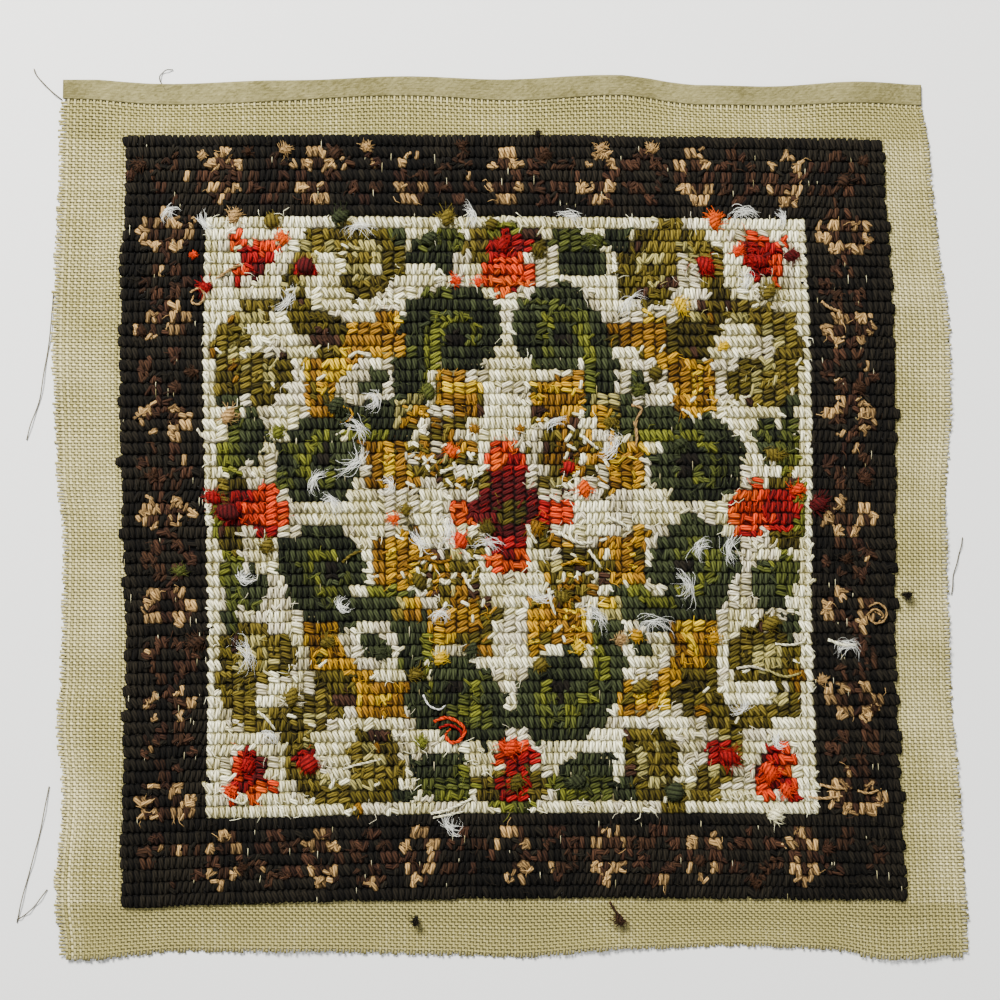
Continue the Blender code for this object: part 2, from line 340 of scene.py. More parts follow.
# Meshes from many like pieces
class Heap:
    """Points, faces, map, and dye with painted shade, of many small shapes, gathered before they become one
    mesh.
    """

    def __init__(self):
        self.points, self.loops, self.sizes, self.maps, self.dyes = [], [], [], [], []
        self.count = 0

    def put(self, points, loops, sizes, maps, dye_and_shade):
        """Add one block of points (n, 3), with its faces' corners counted from its first point."""
        self.points.append(points)
        self.loops.append(loops + self.count)
        self.sizes.append(sizes)
        self.maps.append(maps)
        self.dyes.append(np.broadcast_to(np.asarray(dye_and_shade, float), (len(points),)))
        self.count += len(points)

    def triangles(self):
        """How many triangles the gathered faces make."""
        return int(sum((sizes - 2).sum() for sizes in self.sizes))

    def make(self, name, material, slot, stands_for=()):
        """Turn the heap into one smooth-shaded piece of the panel."""
        mesh = bpy.data.meshes.new(name)
        points = np.concatenate(self.points).astype(np.float32)
        loops = np.concatenate(self.loops).astype(np.int32)
        sizes = np.concatenate(self.sizes).astype(np.int32)
        mesh.vertices.add(len(points))
        mesh.vertices.foreach_set("co", points.ravel())
        mesh.loops.add(len(loops))
        mesh.loops.foreach_set("vertex_index", loops)
        mesh.polygons.add(len(sizes))
        mesh.polygons.foreach_set("loop_start", np.concatenate(([0], np.cumsum(sizes)[:-1])).astype(np.int32))
        mesh.polygons.foreach_set("use_smooth", np.ones(len(sizes), bool))
        mesh.update(calc_edges=True)
        layer = mesh.uv_layers.new(name="yarn")
        layer.data.foreach_set("uv", np.concatenate(self.maps).astype(np.float32).ravel())
        # each point's dye, with the painted shade and highlight that are added to it
        dye_and_shade = mesh.attributes.new("dye_and_shade", "FLOAT", "POINT")
        dye_and_shade.data.foreach_set("value", np.concatenate(self.dyes).astype(np.float32))
        mesh.materials.append(material)
        piece = bpy.data.objects.new(name, mesh)
        bpy.context.scene.collection.objects.link(piece)
        return dress(piece, stands_for)


def dress(piece, stands_for=()):
    """Attach a piece to the body, and hide the frame's nodes that it stands for."""
    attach(piece, BODY)
    if stands_for:
        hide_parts(*stands_for)
    return piece


END_SHADE = 0.45                # painted shade: how much a stitch darkens towards its ends, and down its sides
SIDE_SHADE = 0.55


class Shape:
    """A small modelled shape that is copied many times."""

    def __init__(self, item):
        mesh = item.data
        self.points = np.array([v.co[:] for v in mesh.vertices])
        self.loops = np.array([corner.vertex_index for corner in mesh.loops])
        self.sizes = np.array([face.loop_total for face in mesh.polygons])
        middle = (self.points[:, 2].max() + self.points[:, 2].min()) / 2
        at = self.points[self.loops]
        around = np.arctan2(at[:, 0], at[:, 2] - middle) / math.tau + 0.5
        start = 0
        for size in self.sizes:
            part = around[start:start + size]
            if part.max() - part.min() > 0.5:
                part[part < 0.5] += 1.0
            start += size
        self.maps = np.stack([at[:, 1] + 0.5, around], axis=1)
        # painted shade, added to each point's dye: darker towards the stitch's ends and low on its sides
        ends = np.abs(2 * self.points[:, 1]) ** 5
        self.fall = -END_SHADE * ends - SIDE_SHADE * (1 - self.points[:, 2] / self.points[:, 2].max())
        bpy.data.objects.remove(item)

    def copies(self, x, y, z, long, wide, high, turn, dye_and_shade, heap):
        """Add one copy for each row of the arrays, turned about Z and scaled, to a heap."""
        many = len(x)
        if not many:
            return
        local = self.points[None] * np.stack([wide, long, high], axis=1)[:, None]
        cos, sin = np.cos(turn)[:, None], np.sin(turn)[:, None]
        points = np.empty_like(local)
        points[..., 0] = x[:, None] + cos * local[..., 0] - sin * local[..., 1]
        points[..., 1] = y[:, None] + sin * local[..., 0] + cos * local[..., 1]
        points[..., 2] = z[:, None] + local[..., 2]
        each = len(self.points)
        loops = (self.loops[None] + np.arange(many)[:, None] * each).ravel()
        heap.put(points.reshape(-1, 3), loops, np.tile(self.sizes, many), np.tile(self.maps, (many, 1)),
                 (np.asarray(dye_and_shade)[:, None] + self.fall[None]).ravel())


UNMARKED = (0.0, 0.0625)        # the map's place between two strands, for fibres too fine to show any


def sweep(heap, path, half_wide, half_high, sides, dye_and_shade, upward=(0.0, 0.0, 1.0), turn_length=2.0 * MM):
    """Sweep a ring of the given sides along a path, with closed ends, into a heap."""
    path = np.asarray(path, float)
    count = len(path)
    ahead = np.gradient(path, axis=0)
    ahead /= np.maximum(np.linalg.norm(ahead, axis=1, keepdims=True), 1e-12)
    side = np.cross(ahead, upward)
    side /= np.maximum(np.linalg.norm(side, axis=1, keepdims=True), 1e-9)
    up = np.cross(side, ahead)
    angles = math.tau * (np.arange(sides) + 0.25 * (sides == 3)) / sides
    wide = np.broadcast_to(half_wide, (count,))[:, None, None]
    high = np.broadcast_to(half_high, (count,))[:, None, None]
    sideways = np.cos(angles)[None, :, None] * side[:, None] * wide
    upwards = np.sin(angles)[None, :, None] * up[:, None] * high
    points = (path[:, None] + (sideways + upwards)).reshape(-1, 3)
    row, spot = np.meshgrid(np.arange(count - 1), np.arange(sides), indexing="ij")
    after = (spot + 1) % sides
    quads = np.stack([row * sides + spot, row * sides + after, (row + 1) * sides + after,
                      (row + 1) * sides + spot], axis=-1).reshape(-1, 4)
    far = np.concatenate([[0.0], np.cumsum(np.linalg.norm(np.diff(path, axis=0), axis=1))]) / turn_length
    u0, u1 = far[row].ravel(), far[row + 1].ravel()
    v0 = (spot / sides).ravel()
    v1 = v0 + 1 / sides
    quad_maps = np.stack([u0, v0, u0, v1, u1, v1, u1, v0], axis=-1).reshape(-1, 2)
    first = np.arange(sides)[::-1]
    last = np.arange(sides) + (count - 1) * sides
    loops = np.concatenate([quads.ravel(), first, last])
    sizes = np.concatenate([np.full(len(quads), 4), [sides, sides]])
    ends = np.concatenate([np.stack([np.zeros(sides), first / sides], 1),
                           np.stack([np.full(sides, far[-1]), np.arange(sides) / sides], 1)])
    maps = np.concatenate([quad_maps, ends])
    if sides == 3:
        maps[:] = UNMARKED
    heap.put(points, loops, sizes, maps, np.repeat(np.broadcast_to(dye_and_shade, (count,)), sides))


def grid_faces(grid):
    """Four-sided faces over a grid of point numbers, and the numbers along its rim in order."""
    quads = np.stack([grid[:-1, :-1], grid[1:, :-1], grid[1:, 1:], grid[:-1, 1:]], -1).reshape(-1, 4)
    rim = np.concatenate([grid[:, 0], grid[-1, 1:], grid[-2::-1, -1], grid[0, -2:0:-1]])
    return quads, rim


# The two shapes that are copied as stitches
def start_shape(**primitive):
    """Add a cylinder with nothing else selected and enter edit mode."""
    bpy.ops.object.select_all(action="DESELECT")
    bpy.ops.mesh.primitive_cylinder_add(end_fill_type="NGON", **primitive)
    bpy.ops.object.transform_apply(location=True, rotation=True, scale=True)
    bpy.ops.object.mode_set(mode="EDIT")
    bpy.ops.mesh.select_mode(type="VERT")
    return bpy.context.object


def pick_points(item, test):
    """In edit mode, select only the points that pass a test on their place."""
    bpy.ops.mesh.select_all(action="DESELECT")
    cage = bmesh.from_edit_mesh(item.data)
    for point in cage.verts:
        point.select = test(point.co)
    cage.select_flush(True)
    bmesh.update_edit_mesh(item.data)


def pick_long_edges(item):
    """In edit mode, select only the edges that run the length of the yarn."""
    bpy.ops.mesh.select_all(action="DESELECT")
    bpy.ops.mesh.select_mode(type="EDGE")
    cage = bmesh.from_edit_mesh(item.data)
    for edge in cage.edges:
        edge.select = abs(edge.verts[0].co.y - edge.verts[1].co.y) > 0.5
    bmesh.update_edit_mesh(item.data)


RIDGE_SHARE = 0.72              # how long the ridge of a right-side stitch is beside its base


def model_wrong_side_stitch(end_wide, end_high):
    """One stitch of the wrong side: a plump length of yarn whose ends dive into the canvas."""
    item = start_shape(vertices=4, radius=0.5, depth=1.0, rotation=(-math.pi / 2, 0, 0))
    pick_long_edges(item)
    bpy.ops.mesh.subdivide(number_cuts=2)
    bpy.ops.mesh.select_mode(type="VERT")
    for end in (-0.5, 0.5):
        pick_points(item, lambda place, end=end: abs(place.y - end) < 0.01)
        bpy.ops.transform.resize(value=(end_wide, 1.0, end_high), center_override=(0, end, -0.4))
        pick_points(item, lambda place, end=end: abs(place.y - end / 3) < 0.01)
        bpy.ops.transform.translate(value=(0, end * 0.34, 0))
    bpy.ops.mesh.select_all(action="SELECT")
    bpy.ops.transform.translate(value=(0, 0, 0.5))
    bpy.ops.object.mode_set(mode="OBJECT")
    return Shape(item)


def model_right_side_stitch():
    """One stitch of the right side: a short ridge of yarn that is turned down onto the table."""
    item = start_shape(vertices=3, radius=0.58, depth=1.0, rotation=(math.pi / 2, 0, 0))
    heights = [point.co.z for point in bmesh.from_edit_mesh(item.data).verts]
    lowest, highest = min(heights), max(heights)
    pick_points(item, lambda place: abs(place.z - highest) < 0.01)
    bpy.ops.transform.resize(value=(1.0, RIDGE_SHARE, 1.0), center_override=(0, 0, 0))
    bpy.ops.mesh.select_all(action="SELECT")
    bpy.ops.transform.resize(value=(1.0, 1.0, -1.0), center_override=(0, 0, 0))
    bpy.ops.mesh.flip_normals()
    bpy.ops.transform.translate(value=(0, 0, highest))
    bpy.ops.transform.resize(value=(1.0, 1.0, 1 / (highest - lowest)), center_override=(0, 0, 0))
    bpy.ops.object.mode_set(mode="OBJECT")
    return Shape(item)


# The chart: one eighth of the square is drawn in stitches, then mirrored
def oval(a, b, middle_a, middle_b, half_a, half_b):
    """Stitches inside an oval."""
    return ((a - middle_a) / half_a) ** 2 + ((b - middle_b) / half_b) ** 2 <= 1


def block(a, b, middle_a, middle_b, half_a, half_b):
    """Stitches inside an upright rectangle."""
    return (np.abs(a - middle_a) <= half_a) & (np.abs(b - middle_b) <= half_b)


def stroke(a, b, width, *path):
    """Stitches within half a width of a line through the path's points."""
    near = np.zeros(a.shape, bool)
    for (a0, b0), (a1, b1) in zip(path, path[1:]):
        long = (a1 - a0) ** 2 + (b1 - b0) ** 2
        share = np.clip(((a - a0) * (a1 - a0) + (b - b0) * (b1 - b0)) / long, 0, 1)
        near |= np.hypot(a - a0 - share * (a1 - a0), b - b0 - share * (b1 - b0)) <= width / 2
    return near


# Lines of the field's motifs: along the side from the middle, then out towards the edge, in stitches
SCROLL_EDGE = ((10.5, 25.4), (5.6, 26.6), (2.8, 29.6), (2.4, 34.0), (5.4, 37.2), (9.6, 37.8), (13.6, 35.6),
               (16.2, 31.6), (17.2, 26.0), (17.2, 17.4))
SCROLL_STEM = ((14.2, 34.0), (15.8, 29.0), (16.0, 22.0), (15.6, 17.4))
SCROLL_TURN = ((13.4, 32.0), (10.6, 35.0), (6.4, 34.4), (5.0, 31.0), (6.0, 28.4))
SCROLL_LIGHT = ((14.1, 20.4), (14.0, 27.0), (12.6, 31.4), (10.4, 33.4), (6.2, 33.3), (5.8, 29.6))
CORNER_CURL = ((27.0, 40.0), (24.8, 37.6), (20.8, 38.6), (19.6, 43.0), (21.6, 47.4),
               (26.4, 48.2), (31.0, 46.4))
CORNER_SWEEP = ((27.0, 48.0), (32.6, 46.4), (35.2, 42.4), (35.6, 37.4), (35.2, 35.2))
CORNER_STEM = ((27.6, 30.6), (31.6, 32.6), (36.4, 36.4))

# Motifs of the field in painting order: yarn, shape, its sizes in stitches
MOTIFS = (
    ("dark_green", oval, (8.6, 31.8, 6.4, 6.6)),
    ("dark_green", stroke, (5.0, *SCROLL_STEM)),
    ("mid_green", stroke, (2.4, *SCROLL_TURN)),
    ("lime", stroke, (1.5, *SCROLL_LIGHT)),
    ("black_brown", oval, (8.8, 29.8, 1.6, 1.2)),
    ("dark_green", stroke, (3.2, *SCROLL_EDGE)),
    ("gold", block, (8.3, 20.0, 4.8, 3.2)),
    ("ochre", block, (8.3, 22.4, 4.0, 0.9)),
    ("ochre", block, (8.3, 18.9, 3.2, 0.9)),
    ("yellow", block, (8.0, 20.6, 2.4, 0.5)),
    ("light_olive", oval, (16.9, 16.9, 2.6, 2.2)),
    ("gold", oval, (15.6, 16.2, 1.6, 1.4)),
    ("olive", oval, (23.6, 42.8, 4.6, 5.4)),
    ("light_olive", oval, (24.0, 43.0, 2.4, 3.4)),
    ("olive", block, (24.6, 43.4, 1.6, 0.9)),
    ("dark_olive", stroke, (2.4, *CORNER_CURL)),
    ("olive", stroke, (4.2, *CORNER_SWEEP)),
    ("light_olive", stroke, (1.3, (29.6, 46.4), (33.4, 43.4), (34.4, 39.0))),
    ("dark_olive", stroke, (4.6, *CORNER_STEM)),
    ("olive", stroke, (1.8, (30.6, 32.4), (35.6, 35.8))),
    ("gold", block, (22.3, 31.2, 4.5, 2.9)),
    ("ochre", block, (22.6, 32.6, 3.2, 0.9)),
    ("ochre", block, (22.4, 29.6, 2.2, 0.6)),
    ("yellow", block, (22.0, 30.9, 1.4, 0.5)),
    ("gold", stroke, (3.2, (24.4, 28.4), (26.8, 26.8))),
    ("dark_green", oval, (21.8, 22.6, 1.9, 1.9)),
    ("crimson", oval, (43.0, 43.9, 3.2, 2.6)),
    ("red_orange", oval, (41.6, 45.8, 2.2, 1.4)),
    ("maroon", oval, (42.0, 42.6, 1.0, 0.9)),
    ("red_orange", oval, (46.6, 46.4, 1.4, 1.2)),
    ("lime", oval, (0.0, 49.2, 5.0, 1.2)),
    ("dark_olive", oval, (4.6, 46.6, 2.6, 2.4)),
    ("crimson", oval, (0.0, 45.8, 3.8, 2.9)),
    ("red_orange", oval, (0.0, 41.2, 4.4, 3.6)),
    ("red_orange", oval, (0.0, 38.0, 1.4, 1.4)),
    ("lime", oval, (9.4, 46.6, 2.6, 2.2)),
    ("mid_green", oval, (12.2, 46.2, 4.4, 2.0)),
    ("dark_green", oval, (12.8, 43.2, 4.3, 2.3)),
    ("lime", block, (10.4, 48.3, 2.0, 0.5)),
    ("dark_green", oval, (18.6, 47.2, 2.1, 1.9)),
    ("oatmeal", block, (0.0, 18.4, 3.2, 2.4)),
    ("ivory", block, (0.0, 13.2, 6.4, 1.8)),
    ("ivory", block, (4.5, 8.6, 0.8, 3.0)),
    ("red_orange", oval, (0.0, 8.0, 3.1, 2.6)),
    ("red_orange", oval, (0.0, 10.4, 1.3, 1.1)),
    ("crimson", oval, (0.0, 5.4, 3.4, 1.4)),
    ("olive", block, (7.2, 8.8, 2.4, 0.9)),
    ("ivory", block, (8.0, 7.0, 2.6, 0.7)),
    ("dark_olive", oval, (5.6, 5.8, 2.0, 1.4)),
    ("maroon", block, (0.0, 2.8, 3.4, 1.4)),
    ("dark_olive", oval, (1.2, 1.0, 1.6, 1.2)),
)

# Motifs that lie only above and below the middle, not beside it
UPRIGHT_MOTIFS = (
    ("crimson", oval, (34.2, 41.4, 1.7, 1.5)),
)

# A border floret and the plainer one halfway to the next, each from its own middle, outward last
FLORET_SPACING = 16
FLORET_HEIGHT = 7.5             # how far a floret's middle lies out from the field's edge
FLORET = (
    ("dark_brown", oval, (0, 0.0, 3.2, 4.4)),
    ("rust_brown", oval, (2.4, 0.2, 1.4, 0.9)),
    ("rust_brown", oval, (-2.2, -0.4, 1.2, 1.0)),
    ("black_brown", oval, (0.2, 0.2, 1.3, 1.0)),
    ("tan", oval, (0.6, 3.6, 1.5, 1.0)),
    ("tan", oval, (-1.8, 1.9, 0.9, 0.9)),
    ("tan", oval, (2.1, 1.9, 0.9, 0.8)),
    ("tan", oval, (-2.1, -2.1, 1.1, 0.9)),
    ("tan", oval, (2.2, -2.1, 1.0, 0.9)),
    ("tan", oval, (0.2, -4.2, 1.4, 1.0)),
)
PLAIN_FLORET = (
    ("dark_brown", oval, (0, 3.4, 1.9, 1.1)),
    ("rust_brown", oval, (-2.5, 1.3, 1.5, 1.2)),
    ("dark_brown", oval, (2.5, 1.3, 1.5, 1.2)),
    ("dark_brown", oval, (-2.3, -1.9, 1.5, 1.2)),
    ("rust_brown", oval, (2.3, -1.9, 1.5, 1.2)),
    ("rust_brown", oval, (0, -3.9, 1.4, 1.0)),
)


def paint(chart, a, b, motifs, where):
    """Paint motifs in order over the stitches of a chart that lie where it says."""
    for yarn, shape, sizes in motifs:
        chart[shape(a, b, *sizes) & where] = INDEX[yarn]


def soft_noise(seed, wave):
    """Smooth random heights from 0 to 1 over the whole chart, a few stitches across."""
    local = np.random.default_rng(seed)
    coarse = local.random((COLUMNS // wave + 3, ROWS // wave + 3))
    across = np.arange(COLUMNS) / wave
    upward = np.arange(ROWS) / wave
    i, j = across.astype(int), upward.astype(int)
    fi, fj = ease(across - i)[:, None], ease(upward - j)[None]
    low = coarse[i][:, j] * (1 - fi) + coarse[i + 1][:, j] * fi
    high = coarse[i][:, j + 1] * (1 - fi) + coarse[i + 1][:, j + 1] * fi
    return low * (1 - fj) + high * fj


# Yarn, its near relation and how much of the yarn's area the relation takes
RELATIONS = (
    ("dark_green", "mid_green", 0.08, 61),
    ("olive", "dark_olive", 0.26, 63), ("olive", "light_olive", 0.13, 64), ("dark_olive", "olive", 0.2, 65),
    ("olive", "ochre", 0.07, 74), ("dark_olive", "rust_brown", 0.07, 75), ("light_olive", "ivory", 0.05, 76),
    ("light_olive", "olive", 0.14, 66), ("gold", "ochre", 0.3, 67), ("gold", "yellow", 0.12, 68),
    ("gold", "dark_olive", 0.06, 77), ("oatmeal", "ivory", 0.3, 78),
    ("red_orange", "orange", 0.3, 79), ("red_orange", "crimson", 0.1, 69), ("crimson", "maroon", 0.08, 70),
    ("mid_green", "dark_green", 0.14, 71),
    ("lime", "mid_green", 0.12, 72), ("ochre", "dark_olive", 0.08, 73),
)
EDGE_LINE = 1.5                 # width of the plain ivory line round the field, in stitches
CORNER_FROM = FLORET_SPACING * 3.3  # where the corner of the border starts, along the side
CORNER_MIDDLE = 57.5            # middle of the plain floret in each corner
WANDER = 2.4                    # how far a motif may stray from its mirrored place, in stitches


def draw_chart():
    """The yarn of each stitch of the right side, seen through from the wrong side."""
    x = np.arange(COLUMNS)[:, None] - (COLUMNS - 1) / 2 + np.zeros((1, ROWS))
    y = np.arange(ROWS)[None] - (ROWS - 1) / 2 + np.zeros((COLUMNS, 1))
    field_wide = COLUMNS / 2 - BORDER_COLUMNS
    field_tall = ROWS / 2 - 2 * BORDER_ROPES
    across = np.abs(x)
    upward = np.where(np.abs(y) <= field_tall, np.abs(y) * field_wide / field_tall,
                      np.abs(y) + field_wide - field_tall)
    across = across + WANDER * (soft_noise(41, 9) - 0.5) * (across < field_wide - 3)
    upward = upward + WANDER * (soft_noise(42, 9) - 0.5) * (upward < field_wide - 3)
    a, b = np.minimum(across, upward), np.maximum(across, upward)
    chart = np.full(x.shape, INDEX["ivory"])
    field = b < field_wide
    grain = np.random.default_rng(11).random(x.shape)
    ring = field & (a + b > 13) & (a + b < 27) & (b < 17) & (b > 5.5) & (a > 3.4)
    for limit, yarn in ((1.0, "ochre"), (0.72, "gold"), (0.5, "dark_olive"), (0.3, "rust_brown"),
                        (0.2, "olive"), (0.1, "ivory")):
        chart[ring & (grain < limit)] = INDEX[yarn]
    paint(chart, a, b, MOTIFS, field)
    paint(chart, a, b, UPRIGHT_MOTIFS, field & (upward > across))
    plain = chart.copy()
    for yarn, relation, share, seed in RELATIONS:
        near = soft_noise(seed, 3)
        chart[field & (plain == INDEX[yarn]) & (near > np.quantile(near, 1 - share))] = INDEX[relation]
    chart[field & (b > field_wide - EDGE_LINE)] = INDEX["ivory"]
    border = ~field
    chart[border] = INDEX["black_brown"]
    outward = b - field_wide - FLORET_HEIGHT + 0.5
    beside = (a + FLORET_SPACING / 2) % FLORET_SPACING - FLORET_SPACING / 2
    halfway = a % FLORET_SPACING - FLORET_SPACING / 2
    along_side = border & (a < CORNER_FROM)
    paint(chart, beside, outward, FLORET, along_side)
    paint(chart, halfway, outward, PLAIN_FLORET, along_side)
    corner = border & (a >= CORNER_FROM)
    paint(chart, a - CORNER_MIDDLE, b - CORNER_MIDDLE, PLAIN_FLORET, corner)
    worn = soft_noise(5, 3)
    petals = (chart != INDEX["black_brown"]) & border
    chart[petals & (worn > 0.74)] = INDEX["black_brown"]
    brown = np.isin(chart, [INDEX["dark_brown"], INDEX["rust_brown"]]) & border
    chart[brown & (grain > 0.95)] = INDEX["tan"]
    beside_motif = np.zeros(x.shape, bool)
    coloured = field & (chart != INDEX["ivory"]) & (chart != INDEX["oatmeal"])
    for step_a, step_b in ((1, 0), (-1, 0), (0, 1), (0, -1), (1, 1), (-1, -1), (2, 0), (-2, 0)):
        beside_motif |= np.roll(np.roll(coloured, step_a, 0), step_b, 1)
    outline = field & ~coloured & beside_motif & (soft_noise(8, 4) > 0.52)
    chart[outline & (b < field_wide - EDGE_LINE)] = INDEX["oatmeal"]
    return chart


CHART = draw_chart()
FIELD_WIDE = HALF_WIDE - BORDER_COLUMNS * PITCH
FIELD_TALL = HALF_TALL - BORDER_ROPES * ROPE_TALL


def in_field(u, v):
    """True where a flat point lies in the ivory field and not in the border."""
    return (np.abs(u) < FIELD_WIDE) & (np.abs(v) < FIELD_TALL)


# Placing the yarn of the wrong side
SLANT = math.radians(19)
UPRIGHT_PATCH = 0.6             # how seldom a patch of coloured stitches runs in upright ropes
IVORY_POCKET = 0.82             # the same for a small pocket of ivory
CARRIED_SHARE = 0.4             # how often yarn is carried over where the yarn changes
SPECKS_IN_RING = 0.15           # share of stitches with a speck of ivory, round the middle and elsewhere
SPECKS_ELSEWHERE = 0.03
RING_SQUASH = 0.985             # how much less tall than wide the ring of florets is
STITCH_LONG = 5.7 * MM
STITCH_WIDE = 2.62 * MM
STITCH_HIGH = WOOL_HIGH - WOOL_LOW


class Stitches:
    """Rows of placed lengths of yarn, kept as plain lists until they are copied."""

    def __init__(self):
        self.rows = []

    def put(self, yarn, u, v, long, wide, high, turn, lift=0.0, dye_and_shade=None):
        """Place one or many lengths of yarn at flat places u, v."""
        u, v, long, wide, high, turn, lift, yarn = np.broadcast_arrays(
            *(np.asarray(value, float) for value in (u, v, long, wide, high, turn, lift, yarn)))
        shade = rng.random(u.shape) if dye_and_shade is None else np.broadcast_to(dye_and_shade, u.shape)
        self.rows.append(np.stack([yarn, u, v, long, wide, high, turn, lift, shade], -1).reshape(-1, 9))

    def all(self):
        """One table of every placed length."""
        return np.concatenate(self.rows)


QUIET_YARNS = [INDEX[name] for name in ("ivory", "oatmeal", "black_brown", "dark_green", "gold", "ochre")]


def rope_chart():
    """The yarn of each rope's lower and upper row, evened out where the embroiderer carried one on."""
    low, high = CHART[:, 0::2].copy(), CHART[:, 1::2].copy()
    carried = soft_noise(21, 5)[:, 0::2]
    from_low, from_high = carried > 0.58, carried < 0.42
    high[from_low] = low[from_low]
    low[from_high] = high[from_high]
    return low, high


ROPE_LOW, ROPE_HIGH = rope_chart()


def upright_blocks():
    """Which blocks of two columns and one rope are worked in ropes that run up the panel."""
    patch = soft_noise(51, 5)[0::2, 0::2] > UPRIGHT_PATCH
    lively = ~np.isin(ROPE_LOW[0::2], [INDEX["black_brown"], INDEX["ivory"], INDEX["dark_green"]])
    pocket = (ROPE_LOW[0::2] == INDEX["ivory"]) & (soft_noise(52, 4)[0::2, 0::2] > IVORY_POCKET)
    blocks = (patch & lively) | pocket
    blocks[:BORDER_COLUMNS // 2 + 1] = blocks[-BORDER_COLUMNS // 2 - 1:] = False
    blocks[:, :BORDER_ROPES + 1] = blocks[:, -BORDER_ROPES - 1:] = False
    return blocks


UPRIGHT = upright_blocks()
LEAN_SIDE = np.tanh(6 * (soft_noise(33, 13)[:, 0::2] - 0.36))


def upright_stitches(stitches):
    """Two stitches across each block of an upright rope, one for each row of the canvas."""
    blocks, ropes = np.nonzero(UPRIGHT)
    many = len(blocks)
    for half, rope_rows in ((0, ROPE_LOW), (1, ROPE_HIGH)):
        u = -HALF_WIDE + (2 * blocks + 1) * PITCH + rng.normal(0, 0.12, many) * MM
        v = -HALF_TALL + (ropes + 0.25 + 0.5 * half) * ROPE_TALL + rng.normal(0, 0.1, many) * MM
        turn = math.pi / 2 + np.radians(rng.normal(20, 7, many)) * np.sign(LEAN_SIDE[2 * blocks, ropes])
        stitches.put(rope_rows[2 * blocks, ropes], u, v, STITCH_LONG * (1 + 0.03 * rng.normal(0, 1, many)),
                     STITCH_WIDE * (1 + 0.06 * rng.normal(0, 1, many)), STITCH_HIGH * 0.96, turn)


def whole_stitches(stitches):
    """Where both rows of a rope have one yarn, each column is one long slanting stitch."""
    column, rope = np.meshgrid(np.arange(COLUMNS), np.arange(ROPES), indexing="ij")
    laid = ~np.repeat(UPRIGHT, 2, axis=0)
    same = (ROPE_LOW == ROPE_HIGH) & laid
    lean = SLANT * LEAN_SIDE
    u = -HALF_WIDE + (column + 0.5) * PITCH
    v = -HALF_TALL + (rope + 0.5) * ROPE_TALL
    jitter = rng.normal(0, 1, (6, COLUMNS, ROPES))
    slack = soft_noise(31, 3)[:, 0::2] - 0.5
    turn_of_dye = np.clip(0.5 + 1.1 * (soft_noise(32, 6)[:, 0::2] - 0.5) + 0.28 * jitter[5], 0, 1)
    quiet = np.isin(ROPE_LOW, QUIET_YARNS)
    lively = np.where(quiet, 1.0, 2.0)
    loose = same & (rng.random(same.shape) < np.where(quiet, 0.012, 0.12))
    turn = lean * (1 + 0.5 * slack) + jitter[0] * math.radians(3.2) * lively
    turn = np.where(loose, turn + rng.normal(0, math.radians(35), same.shape), turn)
    stitches.put(ROPE_LOW[same], (u + jitter[1] * 0.06 * MM * lively)[same],
                 (v + jitter[2] * 0.08 * MM * lively + 0.5 * MM * slack)[same],
                 (STITCH_LONG * (1 + 0.02 * jitter[3]))[same],
                 (STITCH_WIDE * (1 + 0.08 * jitter[4]))[same],
                 (STITCH_HIGH * (0.96 + 0.05 * jitter[5]))[same], turn[same],
                 (np.where(loose, 0.25 * MM, 0.0))[same], turn_of_dye[same])
    return ~same & laid


def split_stitches(stitches, split):
    """Where the two rows of a rope differ, short stitches of both yarns crowd together."""
    columns, ropes = np.nonzero(split)
    many = len(columns)
    for half, chosen in ((0, ROPE_LOW), (1, ROPE_HIGH)):
        yarn = chosen[columns, ropes]
        u = -HALF_WIDE + (columns + 0.5) * PITCH + rng.normal(0, 0.22, many) * MM
        v = -HALF_TALL + (ropes + 0.27 + 0.46 * half) * ROPE_TALL + rng.normal(0, 0.15, many) * MM
        turn = rng.choice([-1, 1], many) * np.radians(rng.uniform(15, 75, many))
        stitches.put(yarn, u, v, rng.uniform(3.4, 4.6, many) * MM, rng.uniform(2.1, 2.7, many) * MM,
                     STITCH_HIGH * rng.uniform(0.85, 1.05, many), turn, rng.uniform(0, 0.3, many) * MM)


def rope_end(row):
    """How far one rope of stitches runs past the edge of the work, as in the solids."""
    return 0.4 * MM * np.sin(2.3 * row + 0.4) + 0.3 * MM * np.sin(5.1 * row)


def turning_stitches(stitches):
    """Yarn that turns round at both ends of each rope, and along the top and bottom ropes."""
    ropes = np.arange(ROPES)
    v = -HALF_TALL + (ropes + 0.5) * ROPE_TALL
    for side in (-1, 1):
        column = 0 if side < 0 else COLUMNS - 1
        lump = rng.normal(0, 0.3, ROPES) + 1.7 * rng.random(ROPES) ** 4
        reach = side * (HALF_WIDE - 0.9 * MM + lump * MM + rope_end(ropes + (0 if side < 0 else 7)))
        for lift, long, back in ((0.0, 4.5, 0.0), (0.1, 4.8, 1.1)):
            stitches.put(CHART[column, 2 * ropes], reach - side * back * MM,
                         v + rng.normal(0, 0.15, ROPES) * MM,
                         long * MM * (1 + 0.05 * rng.normal(0, 1, ROPES)), 2.7 * MM,
                         STITCH_HIGH * 0.85, rng.normal(0, math.radians(7), ROPES), lift * MM)


